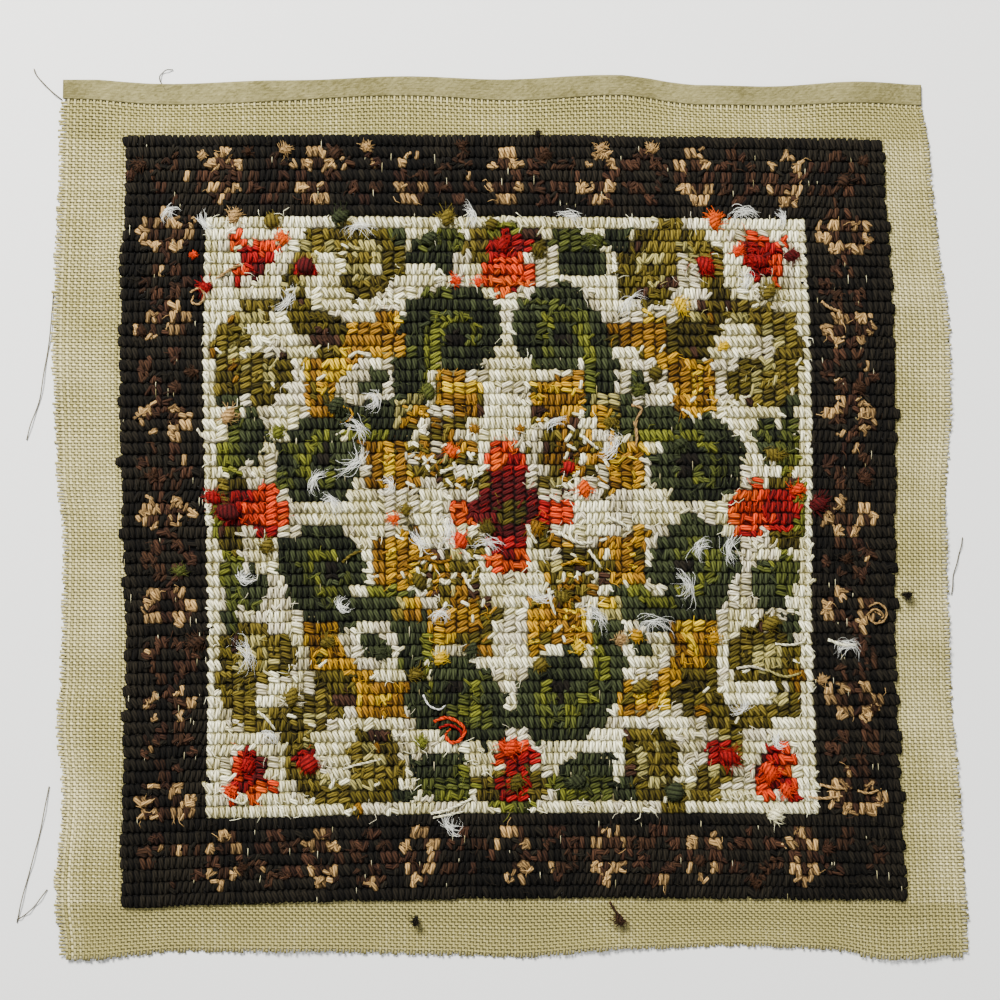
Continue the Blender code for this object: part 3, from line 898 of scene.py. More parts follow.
def field_edge_stitches(stitches):
    """One fat stitch of ivory at each end of the field's ropes, over the join with the border."""
    ropes = np.arange(BORDER_ROPES, ROPES - BORDER_ROPES)
    v = -HALF_TALL + (ropes + 0.5) * ROPE_TALL
    many = len(ropes)
    for side in (-1, 1):
        stitches.put(INDEX["ivory"], side * (FIELD_WIDE - 0.9 * MM) + rng.normal(0, 0.1, many) * MM, v,
                     5.5 * MM, 2.8 * MM, STITCH_HIGH * 1.04, math.radians(20) + rng.normal(0, 0.06, many),
                     0.15 * MM)


def carried_stitches(stitches):
    """Short lengths of yarn that step from rope to rope where the yarn changes."""
    low = ROPE_LOW
    change = (low[1:] != low[:-1])
    columns, ropes = np.nonzero(change & (rng.random(change.shape) < CARRIED_SHARE))
    many = len(columns)
    yarn = low[columns + (rng.random(many) < 0.5), ropes]
    u = -HALF_WIDE + (columns + 1) * PITCH + rng.normal(0, 0.4, many) * MM
    v = -HALF_TALL + (ropes + rng.uniform(0.1, 0.9, many)) * ROPE_TALL
    turn = np.radians(rng.uniform(-80, 80, many))
    stitches.put(yarn, u, v, rng.uniform(3.2, 6.2, many) * MM, rng.uniform(1.2, 2.2, many) * MM,
                 STITCH_HIGH * rng.uniform(0.6, 0.9, many), turn, rng.uniform(0.4, 0.9, many) * MM)


def ivory_specks(stitches):
    """Small bright ovals of ivory yarn that peep through the busy gold and olive parts."""
    low = ROPE_LOW
    busy = np.isin(low, [INDEX[name] for name in ("ochre", "gold", "dark_olive", "olive", "rust_brown")])
    busy[:BORDER_COLUMNS] = busy[-BORDER_COLUMNS:] = False
    across = np.abs(np.arange(COLUMNS) - (COLUMNS - 1) / 2)[:, None]
    upward = 2 * np.abs(np.arange(ROPES) - (ROPES - 1) / 2)[None]
    in_ring = (across + upward > 13) & (across + upward < 27)
    busy[:, :BORDER_ROPES] = busy[:, -BORDER_ROPES:] = False
    share = np.where(in_ring, SPECKS_IN_RING, SPECKS_ELSEWHERE)
    columns, ropes = np.nonzero(busy & (rng.random(busy.shape) < share))
    many = len(columns)
    u = -HALF_WIDE + (columns + rng.random(many)) * PITCH
    v = -HALF_TALL + (ropes + rng.random(many)) * ROPE_TALL
    stitches.put(INDEX["ivory"], u, v, rng.uniform(2.8, 5.2, many) * MM, rng.uniform(1.2, 1.8, many) * MM,
                 STITCH_HIGH * 0.6, np.radians(rng.uniform(-80, 80, many)), rng.uniform(0.9, 1.2, many) * MM,
                 rng.uniform(0.4, 1.0, many))


# Petals of the border florets that stand up as fans of fat stitches: along, outward, way they point
PETALS = ((0.6, 3.4, 65), (-1.8, 1.8, 140), (2.0, 1.9, 30), (-2.1, -2.0, 215), (2.1, -2.2, 320),
          (0.2, -4.2, 260))


def petal_stitches(stitches):
    """Fans of two or three fat stitches on the petals of the border's florets."""
    middles = np.arange(-3, 4) * FLORET_SPACING
    ring = COLUMNS / 2 - BORDER_COLUMNS + FLORET_HEIGHT - 0.5
    for side in range(4):
        for place, middle in enumerate(np.concatenate([middles, middles[:-1] + FLORET_SPACING / 2])):
            tan = place < len(middles)
            for along, outward, heading in PETALS:
                if rng.random() > (0.56 if tan else 0.75):
                    continue
                yarn = INDEX["tan"] if tan else INDEX[str(rng.choice(["dark_brown", "rust_brown"]))]
                for blade in range(rng.integers(2, 4)):
                    s = middle + along + rng.normal(0, 0.3)
                    t = ring + outward + rng.normal(0, 0.3)
                    fan = math.radians(heading + 24 * (blade - 1) + rng.normal(0, 8))
                    cos, sin = [(1, 0), (0, 1), (-1, 0), (0, -1)][side]
                    u, v = s * cos - t * sin, s * sin + t * cos
                    turn = fan - math.pi / 2 + side * math.pi / 2
                    step = 0.9 * MM * (blade - 1)
                    stitches.put(yarn, u * PITCH + step * math.cos(turn),
                                 v * PITCH * RING_SQUASH + step * math.sin(turn),
                                 rng.uniform(3.8, 5.2) * MM, rng.uniform(1.6, 2.2) * MM,
                                 STITCH_HIGH * 0.75, turn, rng.uniform(0.4, 0.9) * MM)


def place_wrong_side():
    """Every stitch of the wrong side, as one table."""
    stitches = Stitches()
    split_stitches(stitches, whole_stitches(stitches))
    upright_stitches(stitches)
    turning_stitches(stitches)
    field_edge_stitches(stitches)
    carried_stitches(stitches)
    ivory_specks(stitches)
    petal_stitches(stitches)
    return stitches.all()


BED_LOW = WOOL_LOW - 0.1 * MM
BED_GROOVE = 0.5 * MM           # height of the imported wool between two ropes, and under their crests
BED_CREST = 1.25 * MM
BED_SHADE = 0.38                # how much of the yarn's own colour is left in the shade


def make_bed(name, first, last, low_row, high_row):
    """Packed wool under the stitches of columns first to last and ropes low_row to high_row."""
    wide, tall = last - first, (high_row - low_row) * 2
    i, j = np.meshgrid(np.arange(wide + 1), np.arange(tall + 1), indexing="ij")
    inset = 0.7 * MM
    u = np.clip(-HALF_WIDE + (first + i) * PITCH, -HALF_WIDE + inset, HALF_WIDE - inset)
    v = np.clip(-HALF_TALL + (2 * low_row + j) * PITCH, -HALF_TALL + inset, HALF_TALL - inset)
    x, y = lie_wool(u, v)
    top = WOOL_LOW + np.where(j % 2 == 0, BED_GROOVE, BED_CREST)
    grid = np.arange(i.size).reshape(i.shape)
    quads, rim = grid_faces(grid)
    after = np.roll(rim, -1)
    count = i.size
    wall = np.stack([rim + count, after + count, after, rim], -1)
    wall = np.where(wall >= count, np.searchsorted(np.sort(rim), wall - count) + count, wall)
    below = (np.searchsorted(np.sort(rim), rim) + count)[::-1]
    points = np.stack([x, y, top], -1).reshape(-1, 3)
    low_rim = points[np.sort(rim)].copy()
    low_rim[:, 2] = BED_LOW
    points = np.concatenate([points, low_rim])
    faces = quads.tolist() + wall.tolist() + [below.tolist()]
    mesh = bpy.data.meshes.new(name)
    mesh.from_pydata(points.tolist(), [], faces)
    palette = np.array([linear(dark) for dark, _ in YARNS.values()])
    palette[:, :3] *= BED_SHADE
    cells = CHART[first:last, 2 * low_row:2 * high_row].ravel()
    shades = np.concatenate([np.repeat(palette[cells], 4, axis=0),
                             np.tile(palette[INDEX["black_brown"]], (5 * len(wall), 1))])
    layer = mesh.color_attributes.new("yarn_colour", "FLOAT_COLOR", "CORNER")
    layer.data.foreach_set("color", shades.astype(np.float32).ravel())
    piece = bpy.data.objects.new(name, mesh)
    bpy.context.scene.collection.objects.link(piece)
    return dress(piece), len(quads) * 2 + len(wall) * 3


def make_beds():
    """Packed wool under the field and under the four bands of the border."""
    material = packed_wool()
    c0, c1 = BORDER_COLUMNS, COLUMNS - BORDER_COLUMNS
    r0, r1 = BORDER_ROPES, ROPES - BORDER_ROPES
    total = 0
    for name, first, last, low, high, slot in (("field", c0, c1, r0, r1, "field_wool"),
                                               ("border_top", 0, COLUMNS, r1, ROPES, "border_wool"),
                                               ("border_bottom", 0, COLUMNS, 0, r0, "border_wool"),
                                               ("border_left", 0, c0, r0, r1, "border_wool"),
                                               ("border_right", c1, COLUMNS, r0, r1, "border_wool")):
        piece, many = make_bed(name + "_packed_wool", first, last, low, high)
        piece.data.materials.append(material)
        total += many
    return total


def make_wool():
    """Tapestry wool materials, one for each yarn."""
    return {name: tapestry_wool(name, dark, light) for name, (dark, light) in YARNS.items()}


LOOSE_LIFT = 0.35 * MM          # lengths that lie higher than this have pointed ends
BORDER_NODES = ("border_top", "border_bottom", "border_left", "border_right")
MOST_COPIES = 5000              # stitches in one piece, which keeps it under 200,000 triangles


def make_wrong_side(wool):
    """Copy the wrong-side stitch to every place, one piece for each yarn of field and border."""
    blunt, pointed = model_wrong_side_stitch(0.72, 0.3), model_wrong_side_stitch(0.42, 0.25)
    table = place_wrong_side()
    within = in_field(table[:, 1], table[:, 2])
    total = 0
    for region, chosen, slot, nodes in (("field", within, "field_wool", ("field_stitching",)),
                                        ("border", ~within, "border_wool", BORDER_NODES)):
        for place, name in enumerate(NAMES):
            rows = table[chosen & (table[:, 0] == place)]
            parts = max(1, math.ceil(len(rows) / MOST_COPIES))
            for part, some in enumerate(np.array_split(rows, parts)):
                if not len(some):
                    continue
                x, y = lie_wool(some[:, 1], some[:, 2])
                heap = Heap()
                loose = some[:, 7] > LOOSE_LIFT
                for shape, kind in ((blunt, ~loose), (pointed, loose)):
                    shape.copies(x[kind], y[kind], WOOL_LOW + some[kind, 7], *some[kind, 3:7].T,
                                 some[kind, 8], heap)
                total += heap.triangles()
                tail = f"_{part + 1}" if parts > 1 else ""
                heap.make(f"{region}_stitches_{name}{tail}", wool[name], slot, nodes)
    return total


def make_right_side(wool):
    """Copy the right-side stitch under every crossing of the canvas, one piece for each yarn."""
    shape = model_right_side_stitch()
    column, row = np.meshgrid(np.arange(COLUMNS), np.arange(ROWS), indexing="ij")
    u = -HALF_WIDE + (column + 0.5) * PITCH
    v = -HALF_TALL + (row + 0.5) * PITCH
    total = 0
    for place, name in enumerate(NAMES):
        chosen = CHART == place
        many = int(chosen.sum())
        if not many:
            continue
        x, y = lie_wool(u[chosen], v[chosen])
        parts = max(1, math.ceil(many / 12000))
        for part, some in enumerate(np.array_split(np.arange(many), parts)):
            heap = Heap()
            count = len(some)
            shape.copies(x[some], y[some], np.full(count, 0.02 * MM), np.full(count, 3.4 * MM),
                         2.25 * MM * rng.uniform(0.93, 1.07, count), np.full(count, RIGHT_SIDE_TOP * 0.97),
                         math.radians(45) + rng.normal(0, 0.05, count), rng.random(count), heap)
            total += heap.triangles()
            tail = f"_{part + 1}" if parts > 1 else ""
            heap.make(f"right_side_{name}{tail}", wool[name], "right_side_wool", ("right_side_stitching",))
    return total


# The canvas
THREAD_WIDE = 0.63 * MM         # half the width of a pressed canvas thread
THREAD_HIGH = 0.27 * MM
THREAD_RISE = 0.19 * MM         # how far a thread swings over and under
THREAD_SIDES = 3
PAIR_SPREAD = 0.23             # how far each thread of a pair lies from the pair's middle, in pairs
KNUCKLE_HIGHLIGHT = 0.12             # painted highlight: how much paler a thread is where it crosses over; it is as much darker, as painted shade, where it passes under
PROUD_HIGHLIGHT = 0.42               # painted highlight, the same for the one thread of a pair that stands proud
SHADE_BY_WORK = 0.16             # painted shade: how much darker the canvas is beside the stitches
SHADE_BY_WORK_WIDTH = 9 * MM
DULL_ENDS = 0.26                # how much darker the canvas is all over the margins above and below the work
DRAWN_THREADS = (4, 5, 7)       # upright threads near the left cut edge that were drawn taut and pale
DRAWN_PALE = 0.45
DRAWN_FROM = 60 * MM            # how far below the middle they begin to show, and how slowly
DRAWN_FADE = 90 * MM


def thread_numbers(first, last):
    """Numbers, in pairs, of every single thread between two pairs."""
    pairs = np.arange(first, last)
    return np.sort(np.concatenate([pairs + 0.5 - PAIR_SPREAD, pairs + 0.5 + PAIR_SPREAD]))


ACROSS = thread_numbers(-LEFT_PAIRS, COLUMNS + RIGHT_PAIRS)
UPWARD = thread_numbers(-BOTTOM_PAIRS, ROWS + TOP_PAIRS)
UNDER_WOOL = 1.9                # pairs of mesh that run in under the edge of the stitches


def thread_run(numbers, low_end, high_end):
    """The crossings of a thread between two ends."""
    return numbers[(numbers >= low_end) & (numbers <= high_end)]


def lay_thread(heap, fixed, crossings, upright, number):
    """Weave one canvas thread over and under along its crossings, into a heap."""
    s = np.full(len(crossings), fixed) if upright else crossings
    t = crossings if upright else np.full(len(crossings), fixed)
    wander = rng.normal(0, 0.018, len(crossings))
    if upright:
        u, v = cloth_point(s + wander, t)
    else:
        u, v = cloth_point(s, t + wander)
    x, y = lie(u, v)
    partners = np.searchsorted(UPWARD if upright else ACROSS, crossings + 1e-6)
    over = np.where((partners + number) % 2 == 0, 1.0, -1.0) * (1 if upright else -1)
    z = canvas_height(u, v) + over * THREAD_RISE * rng.uniform(0.85, 1.15, len(crossings))
    z = np.maximum(z, THREAD_HIGH)
    plump = rng.uniform(0.86, 1.12)
    # painted highlight where the thread crosses over, painted shade where it passes under
    pale = 0.06 + 0.2 * rng.random() + KNUCKLE_HIGHLIGHT * over
    # painted highlight on the knuckles of the proud thread of each pair
    if number % 2 == 0:
        above = v > HALF_TALL if upright else np.abs(v) <= HALF_TALL
        proud = PROUD_HIGHLIGHT * (over > 0) * np.where(above, 1.0, 0.4)
        pale = pale + proud * rng.uniform(0.4, 1.2, len(crossings))
    beyond = np.maximum(np.maximum(np.abs(u) - HALF_WIDE, np.abs(v) - HALF_TALL), 0)
    # painted shade beside the stitches, and the margins above and below the work made darker all over
    pale = pale - SHADE_BY_WORK * np.exp(-beyond / SHADE_BY_WORK_WIDTH) - DULL_ENDS * (np.abs(v) > HALF_TALL)
    if upright and number in DRAWN_THREADS:
        pale = pale + DRAWN_PALE * ease((-v - DRAWN_FROM) / DRAWN_FADE)
    sweep(heap, np.stack([x, y, z], 1), THREAD_WIDE * plump, THREAD_HIGH, THREAD_SIDES, pale)


def frayed(low, high):
    """A random cut length for a thread's loose end, in pairs."""
    return rng.uniform(low, high)


def weave_upright_threads():
    """Upright threads: whole in the side margins, and short above and below the work."""
    heap = Heap()
    first = -LEFT_PAIRS + 1.25
    last = COLUMNS + RIGHT_PAIRS - 0.9
    for number, s in enumerate(ACROSS):
        if s < first or s > last:
            continue
        bottom = -BOTTOM_PAIRS - frayed(-0.25, 0.3)
        numbers = np.concatenate([[bottom], UPWARD, [ROWS + TOP_PAIRS + 0.5, ROWS + TOP_PAIRS + 0.95]])
        if s < UNDER_WOOL or s > COLUMNS - UNDER_WOOL:
            lay_thread(heap, s, thread_run(numbers, bottom, 999), True, number)
        else:
            lay_thread(heap, s, thread_run(numbers, bottom, UNDER_WOOL), True, number)
            lay_thread(heap, s, thread_run(numbers, ROWS - UNDER_WOOL, 999), True, number)
    return heap


def weave_cross_threads():
    """Cross threads: whole above and below the work, and short beside it, with frayed ends."""
    heap = Heap()
    for number, t in enumerate(UPWARD):
        if t < -BOTTOM_PAIRS + 0.6:
            continue
        left = -LEFT_PAIRS - frayed(-0.35, 0.3)
        right = COLUMNS + RIGHT_PAIRS + frayed(-0.3, 0.25)
        numbers = np.concatenate([[left], ACROSS, [right]])
        if t < UNDER_WOOL or t > ROWS - UNDER_WOOL:
            lay_thread(heap, t, thread_run(numbers, left, right), False, number)
        else:
            lay_thread(heap, t, thread_run(numbers, left, UNDER_WOOL), False, number)
            lay_thread(heap, t, thread_run(numbers, COLUMNS - UNDER_WOOL, right), False, number)
    return heap


SELVEDGE_ENDS = 8              # fine warp threads packed side by side in the selvedge


def closed_strip(x, y, top, bottom, heap, dye_and_shade, dye_and_shade_below=None):
    """Add a closed strip to a heap: two grids of points, one above the other, and a wall round them."""
    grid = np.arange(x.size).reshape(x.shape)
    quads, rim = grid_faces(grid)
    after = np.roll(rim, -1)
    wall = np.stack([rim + x.size, after + x.size, after, rim], -1)
    faces = np.concatenate([quads, quads[:, ::-1] + x.size, wall])
    points = np.concatenate([np.stack([x, y, height], -1).reshape(-1, 3) for height in (top, bottom)])
    dyes = np.concatenate([dye_and_shade.ravel(), (dye_and_shade if dye_and_shade_below is None else dye_and_shade_below).ravel()])
    heap.put(points, faces.ravel(), np.full(len(faces), 4), np.zeros((faces.size, 2)), dyes)


def weave_selvedge():
    """The woven edge along the top: a tight fine band, ribbed where its warp threads lie."""
    across = np.linspace(-LEFT_PAIRS + 0.35, COLUMNS + RIGHT_PAIRS - 0.25, 340)
    steps = np.linspace(0, 1, 2 * SELVEDGE_ENDS + 1)
    s, share = np.meshgrid(across, steps, indexing="ij")
    u, _ = cloth_point(s, np.full(s.shape, ROWS + TOP_PAIRS + 1.0))
    cover = SLOT_TALL * (0.35 + 0.45 * np.sin(41 * u + 0.6) + 0.2 * np.sin(97 * u))
    v = HALF_TALL + margin("top", u) - (SELVEDGE_WIDE + cover) * (1 - share)
    x, y = lie(u, v)
    column, step = np.meshgrid(np.arange(len(across)), np.arange(len(steps)), indexing="ij")
    rib = np.where(step % 2 == 1, 1.0, -0.4) * np.where((column + step // 2) % 2 == 0, 1.0, 0.35)
    top = canvas_height(u, v) + CANVAS_THICK * 0.42 + 0.15 * MM * rib
    bottom = np.maximum(canvas_height(u, v) - CANVAS_THICK * 0.4, 0.02 * MM)
    heap = Heap()
    closed_strip(x, y, top, bottom, heap, 0.2 + 0.1 * rib + rng.normal(0, 0.1, rib.shape))
    return heap


def lay_shaded_rows():
    """A thin strip painted dark as shade, seen through the slots by the selvedge and below the last rope, and
    pale underneath.
    """
    heap = Heap()
    across = np.linspace(-LEFT_PAIRS + 1.2, COLUMNS + RIGHT_PAIRS - 1.2, 120)
    under_work = np.linspace(0.4, COLUMNS - 0.4, 110)
    for s_line, low, high in ((across, ROWS + TOP_PAIRS - 0.1, ROWS + TOP_PAIRS + 1.2),
                              (under_work, -1.35, 0.6)):
        s, t = np.meshgrid(s_line, [low, (low + high) / 2, high], indexing="ij")
        u, v = cloth_point(s, t)
        x, y = lie(u, v)
        middle = np.maximum(canvas_height(u, v) - CANVAS_THICK * 0.5, 0.12 * MM)
        # painted shade on the top face, seen through the slots; the face below is pale
        closed_strip(x, y, middle + 0.08 * MM, middle - 0.08 * MM, heap, np.full(s.shape, -0.3),
                     np.full(s.shape, 0.75))
    return heap


GROUND_INSET = 3.6 * MM         # the threads of the margins run in further than this


def make_ground(material):
    """The canvas under the stitches: a plain sheet, seen only as shade between the yarns."""
    bpy.ops.object.select_all(action="DESELECT")
    bpy.ops.mesh.primitive_grid_add(x_subdivisions=33, y_subdivisions=32, size=1.0)
    piece = bpy.context.object
    piece.name = "canvas_ground"
    points = np.array([point.co[:] for point in piece.data.vertices])
    x, y = lie(points[:, 0] * 2 * (HALF_WIDE - GROUND_INSET), points[:, 1] * 2 * (HALF_TALL - GROUND_INSET))
    placed = np.stack([x, y, np.full(len(x), CANVAS_MIDDLE)], 1)
    piece.data.vertices.foreach_set("co", placed.astype(np.float32).ravel())
    thicken = piece.modifiers.new("cloth thickness", "SOLIDIFY")
    thicken.thickness = CANVAS_THICK
    thicken.offset = 0.0
    bpy.ops.object.modifier_apply(modifier=thicken.name)
    piece.data.materials.append(material)
    return piece


def make_canvas():
    """Woven margins, selvedge and the hidden ground of the canvas."""
    thread = cotton_canvas("mesh_thread", "8b824f", "e4d8a2", 2200.0)
    tight = cotton_canvas("selvedge", "544e2c", "a89f70", 2600.0)
    shade = cotton_canvas("shaded", "2a2415", "4a4128", 1500.0)
    slot_shade = cotton_canvas("slot_shade", "2a2415", "cfc593", 1500.0)
    heaps = (("canvas_upright_threads", weave_upright_threads(), thread),
             ("canvas_cross_threads", weave_cross_threads(), thread),
             ("canvas_selvedge", weave_selvedge(), tight),
             ("canvas_shaded_rows", lay_shaded_rows(), slot_shade))
    total = sum(heap.triangles() for _, heap, _ in heaps)
    pieces = [heap.make(name, material, "canvas") for name, heap, material in heaps]
    ground = make_ground(shade)
    dress(ground, ("canvas",))
    return total + len(ground.data.polygons) * 2


# Loose yarn on top, placed in the photo: across, down, yarn, reach in mm, way it points in degrees
ROUND = None                    # a tuft that opens all round
TUFTS = (
    (236, 220, "tan", 5.5, 60), (277, 219, "olive", 5.5, ROUND), (289, 243, "orange", 5.0, 100),
    (311, 264, "maroon", 6.0, ROUND), (199, 253, "red_orange", 3.5, ROUND), (217, 284, "crimson", 5.0, 200),
    (338, 217, "dark_green", 6.0, 20), (451, 223, "olive", 6.0, 80), (497, 222, "dark_olive", 4.5, ROUND),
    (456, 281, "red_orange", 4.0, 20), (482, 285, "red_orange", 3.5, 70), (284, 438, "lime", 5.0, 80),
    (232, 421, "tan", 6.0, 60), (459, 456, "orange", 5.0, 110), (543, 134, "black_brown", 4.0, 90),
    (605, 150, "tan", 5.5, 70), (659, 150, "tan", 5.5, 110), (870, 158, "dark_brown", 5.0, ROUND),
    (207, 152, "tan", 4.0, ROUND), (252, 152, "dark_brown", 4.0, 80), (285, 148, "tan", 6.0, 20),
    (340, 150, "dark_brown", 6.0, ROUND), (370, 148, "tan", 5.0, 70), (465, 146, "dark_brown", 5.0, 60),
    (720, 226, "orange", 6.0, 90), (704, 258, "crimson", 7.0, 320), (771, 262, "crimson", 6.0, 160),
    (741, 254, "red_orange", 4.5, 60), (790, 255, "maroon", 5.5, 10), (682, 298, "yellow", 5.5, 300),
    (723, 348, "yellow", 4.0, 30), (770, 297, "olive", 6.0, 60), (621, 421, "olive", 5.0, 180),
    (574, 466, "crimson", 4.5, ROUND), (588, 480, "orange", 6.0, 280), (246, 514, "maroon", 8.0, 160),
    (228, 500, "crimson", 6.0, 150), (272, 550, "olive", 5.5, 60), (190, 574, "mid_green", 6.0, 90),
    (214, 636, "dark_brown", 6.0, 200), (430, 586, "dark_olive", 6.5, 120), (417, 674, "olive", 5.0, 40),
    (319, 757, "crimson", 6.5, ROUND), (430, 742, "lime", 4.5, 100), (443, 660, "yellow", 5.0, 60),
    (424, 905, "black_brown", 4.5, 260), (637, 684, "olive", 6.5, 20), (819, 679, "tan", 5.0, 60),
    (903, 592, "black_brown", 4.5, 0), (722, 747, "crimson", 7.0, 340), (765, 757, "red_orange", 6.5, 300),
    (783, 777, "red_orange", 5.0, 290), (620, 902, "dark_brown", 6.0, 290),
    (676, 784, "dark_green", 6.5, ROUND),
    (768, 809, "ivory", 5.5, 30), (480, 640, "dark_green", 5.5, 250), (545, 660, "olive", 4.5, ROUND),
    (583, 650, "yellow", 5.0, 90), (348, 398, "dark_green", 6.5, 230), (660, 372, "dark_olive", 5.0, ROUND),
    (690, 440, "dark_green", 5.0, 200), (812, 505, "maroon", 6.5, 20), (795, 492, "red_orange", 5.0, 40),
    (770, 450, "olive", 6.0, 330), (765, 625, "olive", 6.5, 40), (640, 632, "gold", 4.5, ROUND),
    (436, 398, "mid_green", 6.0, 100), (620, 640, "tan", 4.5, 45), (512, 748, "red_orange", 6.0, 60),
    (524, 768, "dark_olive", 6.0, 250), (300, 700, "olive", 6.5, 80), (262, 765, "crimson", 5.5, 120),
    (248, 780, "red_orange", 5.0, 210), (588, 772, "dark_green", 6.5, 190), (608, 236, "mid_green", 5.5, 200),
    (428, 240, "dark_green", 6.0, 30), (540, 243, "dark_olive", 5.5, 300), (510, 250, "crimson", 5.5, 100),
    (205, 370, "dark_brown", 5.0, 200), (850, 178, "dark_brown", 6.0, ROUND),
    (858, 390, "dark_brown", 5.5, 30),
    (148, 330, "dark_brown", 5.0, ROUND), (160, 480, "dark_brown", 5.5, 80),
    (862, 480, "rust_brown", 6.0, 30),
    (845, 560, "dark_brown", 5.0, 60), (868, 700, "dark_brown", 5.0, 330), (150, 160, "dark_brown", 6.5, 200),
    (135, 172, "rust_brown", 5.0, ROUND), (250, 860, "dark_brown", 5.0, 30),
    (700, 850, "dark_brown", 5.5, ROUND),
    (760, 870, "dark_brown", 5.0, 200), (552, 145, "dark_brown", 6.0, 260), (820, 840, "rust_brown", 5.5, 20),
    (385, 655, "dark_green", 5.0, 60), (560, 590, "olive", 5.5, 330), (538, 520, "ochre", 5.5, 300),
    (500, 528, "dark_olive", 5.5, 170), (470, 545, "red_orange", 6.0, 120), (405, 517, "orange", 4.0, 180),
    (413, 514, "olive", 4.5, 100), (640, 395, "mid_green", 5.0, 60), (480, 428, "ochre", 3.5, ROUND),
    (525, 428, "ochre", 3.0, ROUND), (712, 640, "gold", 5.0, 60), (330, 640, "olive", 5.0, 20),
)
LINT = (
    (174, 209, 4.0), (364, 223, 6.0), (293, 301, 5.5), (478, 212, 4.5), (367, 427, 5.5), (383, 399, 5.0),
    (362, 462, 6.5), (322, 478, 5.0), (750, 209, 6.5), (789, 217, 3.5), (578, 214, 5.0), (752, 281, 5.0),
    (634, 300, 6.0), (618, 448, 6.5), (455, 530, 6.0), (495, 540, 5.5), (546, 596, 6.0), (445, 610, 5.0),
    (602, 612, 6.0), (655, 618, 7.0), (731, 546, 6.0), (691, 582, 6.0), (348, 604, 4.0), (252, 577, 4.5),
    (258, 650, 6.5), (281, 728, 4.5), (456, 819, 5.0), (846, 640, 5.5), (744, 704, 5.0), (341, 500, 5.0),
    (398, 484, 4.0), (210, 222, 4.0), (425, 540, 4.5), (560, 420, 4.0), (700, 545, 4.5), (775, 735, 4.0),
)
# Cut yarn tails, each a line of photo points: yarn, half its thickness in mm, the points
TAILS = (
    ("tan", 0.62, ((222, 278), (231, 272), (240, 266), (250, 262))),
    ("tan", 0.5, ((196, 291), (206, 287), (211, 295), (206, 303), (198, 301), (200, 294))),
    ("gold", 0.5, ((342, 405), (352, 406), (359, 412), (356, 419), (347, 421))),
    ("dark_green", 0.6, ((340, 400), (350, 403), (356, 412), (350, 420), (342, 417))),
    ("tan", 0.55, ((636, 404), (646, 408), (641, 418), (640, 430), (641, 440))),
    ("tan", 0.6, ((826, 300), (832, 306), (839, 309), (846, 311))),
    ("ivory", 0.7, ((828, 636), (842, 641), (856, 641))),
    ("ivory", 0.5, ((776, 640), (790, 641), (803, 638), (806, 632))),
    ("oatmeal", 0.7, ((205, 428), (212, 436), (222, 440), (232, 437))),
    ("red_orange", 0.75, ((441, 716), (452, 712), (464, 716), (471, 724), (466, 734), (457, 736), (452, 729),
                          (457, 723))),
    ("crimson", 0.6, ((446, 722), (456, 719), (466, 724), (468, 732))),
    ("ivory", 0.6, ((268, 706), (277, 713), (285, 724))),
    ("ivory", 0.5, ((231, 782), (241, 790), (254, 795), (258, 790), (248, 784))),
    ("ivory", 0.6, ((438, 805), (452, 802), (466, 796), (481, 789))),
    ("ivory", 0.5, ((440, 809), (455, 806), (470, 803))),
    ("ivory", 0.5, ((352, 762), (364, 758), (378, 755), (390, 752))),
    ("tan", 0.6, ((818, 777), (832, 780), (845, 781))),
    ("tan", 0.6, ((806, 789), (822, 790), (842, 788))),
    ("tan", 0.55, ((855, 783), (866, 785), (878, 781))),
    ("dark_brown", 0.6, ((612, 890), (618, 899), (624, 906))),
    ("tan", 0.45, ((868, 604), (877, 600), (885, 607), (883, 617), (874, 620), (868, 613), (872, 606))),
    ("tan", 0.45, ((866, 612), (874, 606), (882, 612), (878, 619))),
    ("ivory", 0.75, ((563, 530), (574, 537), (586, 541), (598, 540))),
    ("ivory", 0.7, ((610, 514), (622, 520), (634, 526))),
    ("ivory", 0.65, ((593, 548), (600, 558), (606, 566))),
    ("ivory", 0.65, ((470, 573), (475, 583), (480, 589))),
    ("ivory", 0.6, ((553, 586), (556, 600), (560, 612))),
    ("ivory", 0.65, ((424, 540), (428, 550), (425, 560))),
    ("ivory", 0.65, ((585, 434), (594, 441), (603, 448))),
    ("ivory", 0.6, ((446, 472), (455, 468), (463, 465))),
    ("ochre", 0.7, ((414, 558), (430, 556), (446, 560), (460, 556))),
    ("gold", 0.65, ((566, 563), (580, 559), (594, 562))),
    ("light_olive", 0.6, ((766, 665), (785, 672), (802, 668))),
    ("oatmeal", 0.6, ((738, 664), (752, 662), (766, 666))),
    ("tan", 0.55, ((640, 446), (641, 432), (638, 420))),
    ("olive", 0.6, ((350, 560), (360, 552), (372, 548))),
    ("ivory", 0.6, ((686, 408), (694, 414), (700, 424))),
    ("lint", 0.4, ((430, 690), (436, 700), (446, 704), (452, 700))),
)
# Threads ravelled out of the canvas, which lie on the table beside it
RAVELLED = (
    ((169, 87), (165, 79), (161, 72), (162, 66), (167, 62), (174, 61)),
    ((168, 87), (170, 81), (176, 78), (182, 78), (187, 80), (191, 83)),
    ((62, 92), (52, 84), (43, 75), (36, 67), (33, 60)),
    ((57, 290), (55, 330), (50, 365), (46, 395), (38, 420), (33, 438)),
    ((62, 780), (56, 815), (48, 850), (40, 880), (33, 912)),
    ((965, 535), (961, 552), (955, 573), (953, 592)),
    ((62, 880), (50, 896), (40, 905), (33, 909)),
)


